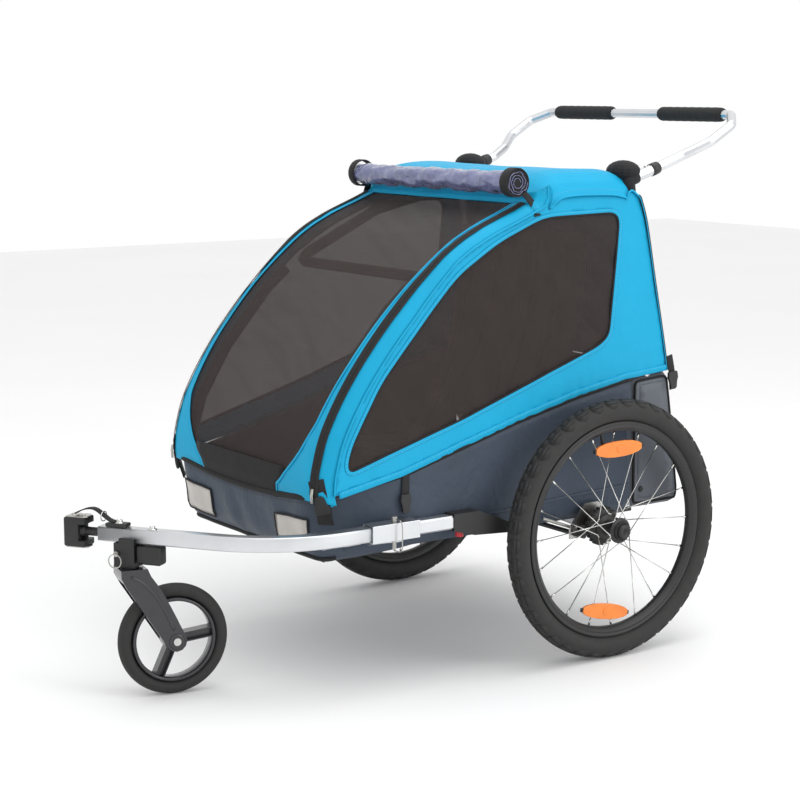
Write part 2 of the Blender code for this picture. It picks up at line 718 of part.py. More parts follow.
def brake():
    """A cross shaft with a pawl beside each toothed ring and a pedal that reaches back under the axle."""
    shaft = cylinder("brake_pedal", place(-0.3300, BRAKE_Y, BRAKE_Z), place(0.3300, BRAKE_Y, BRAKE_Z), 0.0048, black_plastic)
    arm = box("pedal_arm", place(0.112, BRAKE_Y - 0.004, 0.2240), place(0.128, 0.185, 0.2340), black_plastic)
    pad = box("pedal_pad", place(0.085, 0.175, 0.2200), place(0.155, 0.225, 0.2340), black_plastic)
    pawls = [
        box(f"pawl_{s}", place(0.3245 * s - 0.004, BRAKE_Y - 0.004, BRAKE_Z), place(0.3245 * s + 0.004, BRAKE_Y + 0.003, 0.256), black_plastic)
        for s in (1, -1)
    ]  # fmt: skip
    return combine(shaft, "UNION", arm, pad, *pawls)


moves_with(joint("brake_pedal_press", place(0, BRAKE_Y, BRAKE_Z)), brake())

# --- Tow rail, sleeve and arm -------------------------------------------------------------------------

rail_end = -0.300
square_tube("tow_rail", [place(ARM_X, ARM_END + GAP, ARM_Z), place(ARM_X, rail_end, ARM_Z)], 0.0125, aluminium)

sleeve = box(
    "arm_sleeve", place(ARM_X - 0.016, SLEEVE[0], ARM_Z - 0.016), place(ARM_X + 0.016, SLEEVE[1], ARM_Z + 0.016), aluminium
)
sleeve_bore = box(
    "sleeve_bore", place(ARM_X - 0.0135, -0.6, ARM_Z - 0.0135), place(ARM_X + 0.0135, -0.4, ARM_Z + 0.0135), aluminium
)
pin_hole = cylinder("pin_hole", place(ARM_X, PIN_Y, ARM_Z - 0.03), place(ARM_X, PIN_Y, ARM_Z + 0.03), 0.0043, steel, 12)
combine(sleeve, "DIFFERENCE", sleeve_bore, pin_hole)

bracket_outline = [(-0.348, 0.3145), (-0.348, 0.2830), (-0.300, 0.2700), (-0.204, 0.2640), (-0.204, 0.2780), (-0.290, 0.3145)]
bracket = as_mesh(plate("rail_bracket", bracket_outline, 0.0145, black_plastic, ARM_X))
rail_pocket = box(
    "rail_pocket", place(ARM_X - 0.0128, -0.36, ARM_Z - 0.0128), place(ARM_X + 0.0128, rail_end + GAP, ARM_Z + 0.0128), black_plastic
)
BUTTON_Y = -0.326
button_pocket = cylinder("button_pocket", place(ARM_X, BUTTON_Y, 0.2600), place(ARM_X, BUTTON_Y, 0.2830), 0.0080, black_plastic)
combine(bracket, "DIFFERENCE", rail_pocket, button_pocket)
release = cylinder("release_button", place(ARM_X, BUTTON_Y, 0.2690), place(ARM_X, BUTTON_Y, 0.2790), 0.0075, red_plastic)
moves_with(joint("release_button_press", place(ARM_X, BUTTON_Y, 0.2700)), release)

arm_corner = ARM_TIP + ARM_ALONG * ((ARM_X - ARM_TIP.x) / ARM_ALONG.x)
arm_corners = [place(*ARM_TIP, ARM_Z), place(*arm_corner, ARM_Z), place(ARM_X, ARM_END, ARM_Z)]
tow_arm = square_tube("tow_arm", rounded_path(arm_corners, ARM_BEND, 8), ARM_HALF, aluminium)
arm_hole = cylinder("arm_hole", place(ARM_X, PIN_Y, ARM_Z - 0.03), place(ARM_X, PIN_Y, ARM_Z + 0.03), 0.0043, steel, 12)
combine(tow_arm, "DIFFERENCE", arm_hole)


def wire_loop(name, head, out, down, reach, material):
    """A C of wire that starts beside a pin's head, goes round outside and ends under the pin's tip."""
    out, down = Vector(out), Vector(down)
    corners = [
        head + out * 0.0078,
        head + out * reach,
        head + out * reach + down * 0.0585,
        head - out * 0.001 + down * 0.0585,
    ]
    return tube(name, rounded_path(corners, 0.012, 4), 0.0011, material, 2)


pin_head = place(ARM_X, PIN_Y, ARM_Z + 0.0215)
arm_pin = cylinder("arm_pin", pin_head - Vector((0, 0, 0.0565)), pin_head, 0.0038, steel, 12)
combine(
    arm_pin, "UNION", cylinder("pin_collar", pin_head - Vector((0, 0, 0.0045)), pin_head + Vector((0, 0, 0.004)), 0.0055, steel, 12)
)  # fmt: skip
pin_wire = wire_loop("arm_pin_wire", pin_head, (1, 0, 0), (0, 0, -1), 0.026, steel)
moves_with(joint("arm_pin_wire_swing", pin_head), pin_wire)

# --- Hitch --------------------------------------------------------------------------------------------

BALL_REACH = -0.038
ball_centre = arm_point(BALL_REACH)
hitch_ball = cylinder("hitch_ball", arm_point(-GAP), arm_point(-0.034), 0.0080, black_plastic)
ball_shape = bmesh.new()
bmesh.ops.create_uvsphere(ball_shape, u_segments=16, v_segments=10, radius=0.0125)
ball = from_bmesh("ball", ball_shape, black_plastic, smooth=True)
ball.location = ball_centre
combine(hitch_ball, "UNION", ball)


def in_arm_frame(piece, centre):
    """Turns a piece that was made along X so that it lies along the arm, round the given centre."""
    turn = Matrix.Rotation(math.atan2(ARM_ALONG.y, ARM_ALONG.x), 4, "Z")
    piece.matrix_world = Matrix.Translation(centre) @ turn @ piece.matrix_world
    return piece


def arm_box(name, centre, low, high, material, round_by=0.0):
    """A box along the arm, with its corners measured from centre: along the arm, across it and up."""
    made = box(name, low, high, material, round_by)
    bpy.context.view_layer.update()
    return in_arm_frame(made, centre)


clamp = arm_box("hitch_clamp", ball_centre, (-0.028, -0.019, -0.027), (0.0150, 0.019, 0.027), black_plastic, 0.004)
socket_shape = bmesh.new()
bmesh.ops.create_uvsphere(socket_shape, u_segments=16, v_segments=10, radius=0.0136)
socket = from_bmesh("ball_socket", socket_shape, black_plastic)
socket.location = ball_centre
mouth = arm_box("clamp_mouth", ball_centre, (0.0020, -0.030, -0.0150), (0.0300, 0.030, 0.0150), black_plastic)
combine(clamp, "DIFFERENCE", socket, mouth)
moves_with(joint("hitch_turn", ball_centre), clamp)

arm_top = ARM_Z + ARM_HALF
arm_box("strap_anchor", arm_point(0.030, z=arm_top), (-0.016, -0.0115, GAP), (0.024, 0.0115, 0.0070), black_plastic, 0.0015)
strap_points = [
    arm_point(reach, z=z)
    for reach, z in (
        (0.020, arm_top + 0.0098), (0.004, arm_top + 0.0200), (-0.010, arm_top + 0.0300), (-0.026, arm_top + 0.0290),
        (-0.040, arm_top + 0.0235), (-0.050, arm_top + 0.0178),
    )
]  # fmt: skip
tube("safety_strap", rounded_path(strap_points, 0.010, 2), 0.0022, webbing, 2)

# --- Stroller wheel -----------------------------------------------------------------------------------

pivot = arm_point(CASTER_REACH)
arm_under = ARM_Z - ARM_HALF

caster_bracket = arm_box(
    "caster_bracket", arm_point(CASTER_REACH, z=0), (-0.024, -0.0165, 0.2425), (0.016, 0.0165, arm_under - GAP), black_plastic
)
lip_near = arm_box(
    "lip_near", arm_point(CASTER_REACH, z=0), (-0.014, -0.0165, 0.270), (0.016, -ARM_HALF - GAP, 0.2945), black_plastic
)
lip_far = arm_box(
    "lip_far", arm_point(CASTER_REACH, z=0), (-0.014, ARM_HALF + GAP, 0.270), (0.016, 0.0165, 0.2945), black_plastic
)
combine(caster_bracket, "UNION", lip_near, lip_far)
stem_bore = cylinder("stem_bore", pivot - Vector((0, 0, 0.06)), pivot - Vector((0, 0, 0.019)), 0.0084, black_plastic)
pin_bore = arm_box(
    "caster_pin_bore", arm_point(CASTER_REACH - 0.017, z=0.2670), (-0.0033, -0.02, -0.0033), (0.0033, 0.02, 0.0033), steel
)
combine(caster_bracket, "DIFFERENCE", stem_bore, pin_bore)

lever = arm_box(
    "caster_lever", arm_point(CASTER_REACH, z=0), (0.0168, -0.0130, 0.2490), (0.0660, 0.0130, 0.2830), black_plastic, 0.004
)
moves_with(joint("caster_lever_turn", arm_point(CASTER_REACH + 0.020, z=0.279)), lever)

pin_middle = arm_point(CASTER_REACH - 0.017, z=0.2670)
across = Vector((ARM_ALONG.y, -ARM_ALONG.x, 0))
caster_pin = cylinder("caster_pin", pin_middle - across * 0.019, pin_middle + across * 0.024, 0.0029, steel, 12)
combine(
    caster_pin, "UNION", cylinder("caster_pin_head", pin_middle + across * 0.0172, pin_middle + across * 0.0225, 0.0050, steel, 12)
)  # fmt: skip
RING_RADIUS = 0.0125
ring_centre = pin_middle + across * 0.0258 - Vector((0, 0, RING_RADIUS - 0.0005))
ring_shape = bmesh.new()
ring_section = [
    ring_shape.verts.new((RING_RADIUS + 0.0011 * math.sin(math.pi * i / 3), 0, 0.0011 * math.cos(math.pi * i / 3)))
    for i in range(6)
]
for first, second in zip(ring_section, ring_section[1:] + ring_section[:1]):
    ring_shape.edges.new((first, second))
caster_ring = from_bmesh("caster_pin_ring", ring_shape, steel)
caster_ring.rotation_euler = across.to_track_quat("Z", "Y").to_euler()
caster_ring.location = ring_centre
ring_turning = caster_ring.modifiers.new("turned", "SCREW")
ring_turning.steps = 20
ring_turning.render_steps = 20
ring_turning.use_merge_vertices = True
ring_turning.merge_threshold = 0.00001
moves_with(joint("caster_ring_swing", pin_middle + across * 0.0258), caster_ring)

caster = joint("caster_swivel", Vector((pivot.x, pivot.y, 0)), CASTER_SWIVEL)
hub_y = CASTER_TRAIL


def caster_piece(piece):
    """Places a piece that was made round the swivel axis, with the wheel trailing straight behind."""
    bpy.context.view_layer.update()
    piece.matrix_world = caster.matrix_world @ Matrix.Translation((0, -AXLE_Y, 0)) @ piece.matrix_world
    moves_with(caster, piece)
    return piece


def cheek_outline():
    """The fork's side view: a broad curved arm from the crown to a round end at the wheel's axle."""
    end = [
        (hub_y + 0.019 * math.cos(math.radians(a)), CASTER_RADIUS + 0.019 * math.sin(math.radians(a)))
        for a in range(-150, 31, 30)
    ]
    front = [(-0.024, 0.240), (-0.024, 0.226), (-0.014, 0.207)]
    back = [(0.066, 0.165), (0.048, 0.200), (0.030, 0.226), (0.024, 0.240)]
    return front + end + back


fork = as_mesh(plate("fork", cheek_outline(), 0.0265, black_plastic))
wheel_room = box("wheel_room", place(-0.0215, -0.03, 0.05), place(0.0215, 0.12, 0.215), black_plastic)
bolt_hole = cylinder("bolt_hole", place(-0.04, hub_y, CASTER_RADIUS), place(0.04, hub_y, CASTER_RADIUS), 0.0044, steel)
stem = cylinder("stem", place(0, 0, 0.230), place(0, 0, 0.276), 0.0080, steel)
for part in (wheel_room, bolt_hole, stem):
    bpy.context.view_layer.update()
    part.matrix_world = caster.matrix_world @ Matrix.Translation((0, -AXLE_Y, 0)) @ part.matrix_world
combine(fork, "DIFFERENCE", wheel_room, bolt_hole)
combine(fork, "UNION", stem)
caster_piece(fork)

bolt = cylinder("caster_bolt", place(-0.0275, hub_y, CASTER_RADIUS), place(0.0275, hub_y, CASTER_RADIUS), 0.0040, steel)
bolt_heads = [
    cylinder(f"bolt_head_{s}", place(0.0268 * s, hub_y, CASTER_RADIUS), place(0.0300 * s, hub_y, CASTER_RADIUS), 0.0070, steel)
    for s in (1, -1)
]  # fmt: skip
for part in bolt_heads:
    bpy.context.view_layer.update()
    part.matrix_world = caster.matrix_world @ Matrix.Translation((0, -AXLE_Y, 0)) @ part.matrix_world
caster_piece(bolt)
combine(bolt, "UNION", *bolt_heads)

bpy.context.view_layer.update()
wheel_centre = caster.matrix_world @ Vector((0, hub_y, CASTER_RADIUS))
caster_axis = joint("caster_wheel_spin", wheel_centre, CASTER_SWIVEL)
CASTER_TYRE = 0.0125
tyre_middle = CASTER_RADIUS - CASTER_TYRE
caster_section = [
    (tyre_middle + CASTER_TYRE * math.sin(math.pi * i / 10), 0.0145 * math.cos(math.pi * i / 10))
    for i in range(1, 20, 2)
]
caster_tyre = turned("caster_tyre", caster_section, (0, 0, 0), 1, rubber, 36)
rim_ring = [(0.0762, 0.0120), (0.0762, -0.0120), (0.0712, -0.0120), (0.0712, 0.0120)]
caster_wheel = turned("caster_wheel", rim_ring, (0, 0, 0), 1, black_plastic, 36)
hub_barrel = turned(
    "caster_hub", [(0.0185, 0.0205), (0.0185, -0.0205), (0.0045, -0.0205), (0.0045, 0.0205)], (0, 0, 0), 1, black_plastic, 24
)
spoke_boxes = []
for number in range(3):
    shape = bmesh.new()
    bmesh.ops.create_cube(shape, size=1)
    bmesh.ops.scale(shape, vec=(0.018, 0.0590, 0.0240), verts=shape.verts)
    bmesh.ops.translate(shape, vec=(0, 0.0440, 0), verts=shape.verts)
    arm_piece = from_bmesh(f"caster_spoke_{number}", shape, black_plastic)
    arm_piece.rotation_euler = (math.radians(6 + 120 * number), 0, 0)
    spoke_boxes.append(arm_piece)
bpy.context.view_layer.update()
for part in (caster_tyre, caster_wheel, hub_barrel, *spoke_boxes):
    part.matrix_world = caster_axis.matrix_world @ part.matrix_world
moves_with(caster_axis, caster_tyre, caster_wheel)
combine(caster_wheel, "UNION", hub_barrel, *spoke_boxes)
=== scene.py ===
# %% [markdown]
# # A child bicycle trailer, dressed on its frame
# The solids of the trailer come in as a fixed frame. This lesson covers them with cloth, mesh,
# rubber, metal and plastic. Every length is in metres, and every point is measured from the axle.

# %% Load the frame
import math

import bmesh
import bpy
from mathutils import Matrix, Vector, geometry, kdtree, noise
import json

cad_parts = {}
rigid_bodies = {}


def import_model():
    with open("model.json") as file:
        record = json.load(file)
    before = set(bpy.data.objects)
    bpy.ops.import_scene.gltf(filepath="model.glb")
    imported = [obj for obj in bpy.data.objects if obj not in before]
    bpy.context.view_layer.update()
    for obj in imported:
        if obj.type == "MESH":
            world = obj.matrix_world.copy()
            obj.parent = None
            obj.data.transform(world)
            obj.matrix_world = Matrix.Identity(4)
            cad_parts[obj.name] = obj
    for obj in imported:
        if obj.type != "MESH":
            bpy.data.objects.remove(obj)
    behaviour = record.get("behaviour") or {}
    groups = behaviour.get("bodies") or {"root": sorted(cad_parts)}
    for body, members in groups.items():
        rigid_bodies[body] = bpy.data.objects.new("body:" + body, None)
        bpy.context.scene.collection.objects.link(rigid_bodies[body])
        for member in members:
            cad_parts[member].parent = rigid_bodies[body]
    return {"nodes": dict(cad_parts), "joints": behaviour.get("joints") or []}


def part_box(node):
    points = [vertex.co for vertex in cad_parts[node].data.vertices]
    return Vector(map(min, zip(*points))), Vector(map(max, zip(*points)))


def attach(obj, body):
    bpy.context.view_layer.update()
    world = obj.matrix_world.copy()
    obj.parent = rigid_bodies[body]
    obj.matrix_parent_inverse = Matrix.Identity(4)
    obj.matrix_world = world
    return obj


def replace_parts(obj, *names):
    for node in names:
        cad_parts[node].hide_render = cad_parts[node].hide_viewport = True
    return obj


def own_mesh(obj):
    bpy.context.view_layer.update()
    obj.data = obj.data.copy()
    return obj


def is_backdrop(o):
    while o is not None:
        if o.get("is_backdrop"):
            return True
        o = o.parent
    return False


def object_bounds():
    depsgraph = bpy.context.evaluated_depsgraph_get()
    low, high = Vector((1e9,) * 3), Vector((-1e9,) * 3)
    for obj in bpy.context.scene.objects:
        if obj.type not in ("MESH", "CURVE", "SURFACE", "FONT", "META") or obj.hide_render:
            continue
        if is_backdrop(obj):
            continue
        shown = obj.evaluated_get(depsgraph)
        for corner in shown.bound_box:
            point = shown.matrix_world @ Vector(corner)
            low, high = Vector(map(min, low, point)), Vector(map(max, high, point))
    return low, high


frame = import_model()
cad_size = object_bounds()
axle_low, axle_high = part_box("axle_tube")
AXLE_Y = (axle_low.y + axle_high.y) / 2
print("nodes", len(frame["nodes"]), "axle at y", round(AXLE_Y, 4))

# %% [markdown]
# ## The camera and the room
# A trailer is shown from its front corner, a little above the hubs. The floor is one pale sheet
# and the light is soft and comes from above, so that cloth and tube read by their own colour.

# %% Camera, floor and light
def place(x, y, z):
    """A point whose y is measured from the wheel axle."""
    return Vector((x, y + AXLE_Y, z))


scene = bpy.context.scene
lens = bpy.data.cameras.new("camera")
lens.lens, lens.sensor_width = 86.5, 36
camera = bpy.data.objects.new("camera", lens)
scene.collection.objects.link(camera)
ahead = Vector((-0.8127, 0.5604, -0.1597)).normalized()
right = ahead.cross(Vector((-0.1315, 0.0907, 0.9872))).normalized()
axes = Matrix((right, right.cross(ahead), -ahead)).transposed().to_4x4()
camera.matrix_world = Matrix.Translation((3.0697, -2.0689, 1.0764)) @ axes
scene.camera = camera
scene.view_settings.view_transform = "Standard"

world = bpy.data.worlds.new("studio")
scene.world = world
world.use_nodes = True
world.node_tree.nodes["Background"].inputs["Color"].default_value = (1, 1, 1, 1)
world.node_tree.nodes["Background"].inputs["Strength"].default_value = 1.0


def softbox(name, where, towards, size, power):
    """A square area light that faces a point."""
    light = bpy.data.lights.new(name, "AREA")
    light.size, light.energy = size, power
    lamp = bpy.data.objects.new(name, light)
    scene.collection.objects.link(lamp)
    lamp.location = where
    lamp.rotation_euler = (Vector(towards) - Vector(where)).to_track_quat("-Z", "Y").to_euler()


softbox("overhead", (0.5, 0.4, 3.2), (0, 0, 0.4), 2.4, 34)
softbox("side", (3.2, 1.5, 1.7), (0, 0, 0.5), 2.0, 34)

# %% [markdown]
# ## Colours and nodes
# Colours are picked as sRGB hex, and one function turns them to the linear values that shaders
# mix. A second adds one node with its settings and links. A third builds what most finishes
# share: a colour that drifts a little, and a grain or weave in relief, both on Object coordinates.

# %% Helpers for materials
def linear(code):
    """An sRGB hex colour as linear red, green, blue and alpha."""
    parts = [int(code[i : i + 2], 16) / 255 for i in (1, 3, 5)]
    return tuple(p / 12.92 if p <= 0.04045 else ((p + 0.055) / 1.055) ** 2.4 for p in parts) + (1.0,)


def node(tree, kind, inputs=None, **settings):
    """Adds one node. An input is a value, or another node or socket to link."""
    made = tree.nodes.new(kind)
    for key, value in settings.items():
        setattr(made, key, value)
    for key, value in (inputs or {}).items():
        if isinstance(value, bpy.types.Node):
            value = next(s for s in value.outputs if s.enabled)
        if isinstance(value, bpy.types.NodeSocket):
            tree.links.new(value, made.inputs[key])
        else:
            made.inputs[key].default_value = value
    return made


def finish(name, tone, shade, roughness, drift_mm, grain_mm, relief_mm, weave=False, metallic=0.0, **sockets):
    """A surface whose colour drifts between two hex tones, with a grain or a weave in relief."""
    made = bpy.data.materials.new(name)
    made.use_nodes = True
    tree, shader = made.node_tree, made.node_tree.nodes["Principled BSDF"]
    shader.inputs["Roughness"].default_value = roughness
    shader.inputs["Metallic"].default_value = metallic
    for key, value in sockets.items():
        shader.inputs[key.replace("_", " ")].default_value = value
    where = node(tree, "ShaderNodeTexCoord").outputs["Object"]
    drift = node(tree, "ShaderNodeTexNoise", {"Vector": where, "Scale": 1000 / drift_mm, "Detail": 4.0})
    colour = node(
        tree, "ShaderNodeMix", {"Factor": drift.outputs["Fac"], 6: linear(shade), 7: linear(tone)}, data_type="RGBA"
    )
    tree.links.new(colour.outputs[2], shader.inputs["Base Color"])
    if weave:
        grain = node(
            tree, "ShaderNodeTexVoronoi", {"Vector": where, "Scale": 1000 / grain_mm, "Randomness": 0.0}, distance="CHEBYCHEV"
        ).outputs["Distance"]
    else:
        grain = node(tree, "ShaderNodeTexNoise", {"Vector": where, "Scale": 1000 / grain_mm, "Detail": 3.0}).outputs["Fac"]
    bump = node(tree, "ShaderNodeBump", {"Height": grain, "Distance": relief_mm / 1000, "Strength": 1.0})
    tree.links.new(bump.outputs["Normal"], shader.inputs["Normal"])
    made.diffuse_color = linear(tone)
    return made


def parts_of(material):
    """The tree, shader and bump of a finish, and an Object coordinate to build on."""
    tree = material.node_tree
    by_kind = {n.bl_idname: n for n in tree.nodes}
    return tree, by_kind["ShaderNodeBsdfPrincipled"], by_kind["ShaderNodeBump"], by_kind["ShaderNodeTexCoord"].outputs["Object"]


# %% [markdown]
# ## Metals
# The tubes are drawn 6061 aluminium, satin anodised: a grey that is not mirror bright, with fine
# lines from drawing. Bolts, pins and plates are mild steel with zinc plating, which is a little
# warmer and more mottled. Metals keep the default IOR and take their look from colour and roughness.

# %% Aluminium and steel
aluminium = finish("anodised_aluminium", "#DFE1E3", "#C9CBCE", 0.34, 60, 1.2, 0.012, metallic=1.0)
tree, shader, bump, where = parts_of(aluminium)
rub = node(tree, "ShaderNodeTexNoise", {"Vector": where, "Scale": 18.0, "Detail": 5.0})
dull = node(tree, "ShaderNodeMapRange", {"Value": rub.outputs["Fac"], "To Min": 0.26, "To Max": 0.42})
tree.links.new(dull.outputs["Result"], shader.inputs["Roughness"])
steel = finish("zinc_plated_steel", "#C9C8C4", "#A3A29D", 0.30, 14, 2.0, 0.02, metallic=1.0)
chrome = finish("bright_zinc_bolt", "#DAD9D6", "#BDBCB8", 0.16, 20, 3.0, 0.008, metallic=1.0)
print("metals", aluminium.name, steel.name, chrome.name)

# %% [markdown]
# ## Plastics, rubber and foam
# Brackets and hubs are glass-filled nylon, moulded with a fine spark grain. The small wheel is the
# same stuff polished in its mould, so it shines. The button is red ABS. The tyres are black rubber
# that scatters light and holds dust. The grips are closed-cell EVA foam, whose open skin is a
# field of tiny pits. The grains here are drawn 1.5 to 3 mm across, coarser than the real half
# millimetre, so that they still show from a few steps away.

# %% Moulded plastics, rubber, foam
nylon = finish("glass_filled_nylon", "#232323", "#171717", 0.46, 25, 1.5, 0.05)
gloss_nylon = finish("polished_nylon", "#2C2B2F", "#222125", 0.20, 30, 6.0, 0.03, Coat_Weight=0.3, Coat_Roughness=0.12)
red_abs = finish("red_abs", "#C4202A", "#A3141E", 0.34, 8, 2.0, 0.02)
rubber = finish("tyre_rubber", "#2B2A29", "#1D1C1C", 0.72, 18, 2.0, 0.10)
foam = finish("eva_foam", "#2A2A2A", "#1C1C1C", 0.92, 9, 1.6, 0.25)
amber = finish("amber_acrylic", "#F08A12", "#D96A08", 0.16, 30, 3.2, 0.55, weave=True, Coat_Weight=0.6, Coat_Roughness=0.05)
print("plastics", nylon.name, gloss_nylon.name, red_abs.name, rubber.name, foam.name, amber.name)

# %% [markdown]
# ## Coated cloths
# The cover and the tub are 600-denier polyester, coated on the inside. Its threads are 0.5 mm
# apart, drawn here at 1.8 mm so that the cloth still looks woven. Coated cloth has a soft sheen
# at grazing angles. A wider relief of slack and pull is added under the weave.

# %% Cloth finishes
def coated_cloth(name, tone, shade, roughness, slack_mm):
    """Woven polyester with a coat: a weave, and the broad soft dents of slack cloth."""
    made = finish(name, tone, shade, roughness, 90, 1.8, 0.10, weave=True, Sheen_Weight=0.03, Sheen_Roughness=0.4, Specular_IOR_Level=0.3)
    tree, shader, bump, where = parts_of(made)
    slack = node(tree, "ShaderNodeTexNoise", {"Vector": where, "Scale": 22.0, "Detail": 3.0, "Distortion": 0.6})
    broad = node(
        tree, "ShaderNodeBump", {"Height": slack.outputs["Fac"], "Distance": slack_mm / 1000, "Strength": 1.0}
    )
    tree.links.new(broad.outputs["Normal"], bump.inputs["Normal"])
    return made


blue_cloth = coated_cloth("blue_coated_polyester", "#00A3CE", "#0096C0", 0.62, 1.6)
grey_cloth = coated_cloth("grey_coated_polyester", "#3E4857", "#343E4A", 0.52, 4.0)
bag_cloth = coated_cloth("grey_coated_polyester_bag", "#646970", "#565B62", 0.56, 3.0)
pocket_cloth = coated_cloth("brown_polyester_pocket", "#463B38", "#382F2D", 0.80, 1.0)
black_cloth = coated_cloth("black_coated_polyester", "#1E1E20", "#151517", 0.72, 1.0)
seat_cloth = coated_cloth("padded_seat_polyester", "#1E2B30", "#151F24", 0.80, 2.0)
thread = finish("light_thread", "#8FD6EE", "#6FC6E4", 0.6, 5, 1.0, 0.05)
dark_thread = finish("dark_thread", "#30363D", "#22272D", 0.7, 5, 1.0, 0.05)
webbing = finish("black_webbing", "#1C1C1D", "#131314", 0.78, 12, 2.0, 0.3, weave=True)
print("cloths", blue_cloth.name, grey_cloth.name, black_cloth.name, seat_cloth.name)

# %% [markdown]
# ## See-through mesh and clear film
# The windows are a knitted black mesh. Its holes are under a millimetre, far too fine to draw, so
# each spot of it is partly open instead: the Alpha moves a little either side of two thirds, in a
# knit 2.2 mm apart. The rain cover is clear vinyl, rolled up. In a roll it is milky, with violet
# and blue glints, because light bounces between its layers.

# %% Mesh, film and reflective tape
open_mesh = finish("knitted_mesh", "#352B29", "#2A2220", 0.85, 40, 2.2, 0.15, weave=True)
tree, shader, bump, where = parts_of(open_mesh)
knit = node(tree, "ShaderNodeTexVoronoi", {"Vector": where, "Scale": 455.0, "Randomness": 0.0}, distance="CHEBYCHEV")
holes = node(
    tree, "ShaderNodeMapRange", {"Value": knit.outputs["Distance"], "From Max": 0.5, "To Min": 0.68, "To Max": 0.84}
)
tree.links.new(holes.outputs["Result"], shader.inputs["Alpha"])

film = finish("clear_vinyl_film", "#9398C2", "#3E4472", 0.12, 12, 9.0, 2.2, Coat_Weight=0.8, Coat_Roughness=0.05)
tree, shader, bump, where = parts_of(film)
shader.inputs["Alpha"].default_value = 0.82

tape = finish("reflective_tape", "#C6C2BD", "#A7A39D", 0.35, 30, 4.0, 0.1, metallic=0.35)
tree, shader, bump, where = parts_of(tape)
bone = node(tree, "ShaderNodeTexWave", {"Vector": where, "Scale": 70.0, "Distortion": 3.0, "Detail": 0.0}, bands_direction="DIAGONAL")
tree.links.new(bone.outputs["Fac"], bump.inputs["Height"])
print("see-through", open_mesh.name, film.name, tape.name)

# %% [markdown]
# ## Shapes to build with
# Most pieces here are one of five shapes: a sheet through rows of points, a section swept along a
# line, a profile turned on an axle, a slab cut from an outline, or a flat cut of cloth filled with
# even triangles. Each helper makes a mesh at the origin, with its place in its points.

# %% Helpers for shapes
CABIN = place(0, -0.20, 0.55)


def as_piece(name, points, faces, material, smooth=True):
    data = bpy.data.meshes.new(name)
    data.from_pydata([tuple(p) for p in points], [], faces)
    data.materials.append(material)
    for face in data.polygons:
        face.use_smooth = smooth
    piece = bpy.data.objects.new(name, data)
    scene.collection.objects.link(piece)
    return piece


def face_out(piece, inside=None):
    """Turns the faces of a closed piece outwards, or those of an open sheet away from a point."""
    shape = bmesh.new()
    shape.from_mesh(piece.data)
    bmesh.ops.remove_doubles(shape, verts=shape.verts, dist=0.00002)
    bmesh.ops.recalc_face_normals(shape, faces=shape.faces)
    if inside is not None:
        lean = sum((f.calc_center_median() - inside).dot(f.normal) * f.calc_area() for f in shape.faces)
        if lean < 0:
            bmesh.ops.reverse_faces(shape, faces=shape.faces)
    shape.to_mesh(piece.data)
    shape.free()
    return piece


def plain(piece):
    """Applies a piece's modifiers, so that it is a plain mesh."""
    bpy.context.view_layer.update()
    data = bpy.data.meshes.new_from_object(piece.evaluated_get(bpy.context.evaluated_depsgraph_get()))
    piece.modifiers.clear()
    piece.data = data
    return piece


def thicken(piece, thickness):
    """Gives a sheet its thickness, inwards from its face."""
    wall = piece.modifiers.new("thickness", "SOLIDIFY")
    wall.thickness, wall.offset = thickness, -1
    return plain(piece)


def soften(piece, width, segments=2):
    """Rounds the edges of a hard piece."""
    edge = piece.modifiers.new("edges", "BEVEL")
    edge.width, edge.segments, edge.limit_method, edge.angle_limit = width, segments, "ANGLE", 0.6
    edge.harden_normals = True
    return plain(piece)


def sheet_of(name, rows, material, thickness=0.0012, inside=CABIN, around=False):
    """A sheet through rows of points."""
    wide = len(rows[0])
    faces = [
        (i * wide + j, i * wide + (j + 1) % wide, (i + 1) * wide + (j + 1) % wide, (i + 1) * wide + j)
        for i in range(len(rows) - 1)
        for j in range(wide - (0 if around else 1))
    ]
    piece = face_out(as_piece(name, [p for row in rows for p in row], faces, material), inside)
    return thicken(piece, thickness) if thickness else piece


def swept(name, line, section, material, up=(0, 0, 1), closed=False, smooth=True):
    """A section of (aside, up) points swept along a line. up may hold one direction for each point."""
    ups = up if hasattr(up[0], "__len__") else [up] * len(line)
    points, n, many = [], len(section), len(line)
    for i, here in enumerate(line):
        before = line[i - 1] if i or closed else here
        after = line[(i + 1) % many] if i < many - 1 or closed else here
        along = (after - before).normalized()
        aside = along.cross(Vector(ups[i])).normalized()
        rise = aside.cross(along)
        points += [here + aside * a + rise * b for a, b in section]
    faces = [
        (i * n + j, i * n + (j + 1) % n, (i + 1) % many * n + (j + 1) % n, (i + 1) % many * n + j)
        for i in range(many if closed else many - 1)
        for j in range(n)
    ]
    if not closed:
        faces += [tuple(range(n))[::-1], tuple(range((many - 1) * n, many * n))]
    return face_out(as_piece(name, points, faces, material, smooth))


def disc(radius, sides=12):
    return [(radius * math.cos(2 * math.pi * i / sides), radius * math.sin(2 * math.pi * i / sides)) for i in range(sides)]


def strap(width, thickness):
    """The section of a flat strap, with eased edges."""
    w, t, e = width / 2, thickness / 2, thickness * 0.3
    return [(-w, -t + e), (-w + e, -t), (w - e, -t), (w, -t + e), (w, t - e), (w - e, t), (-w + e, t), (-w, t - e)]


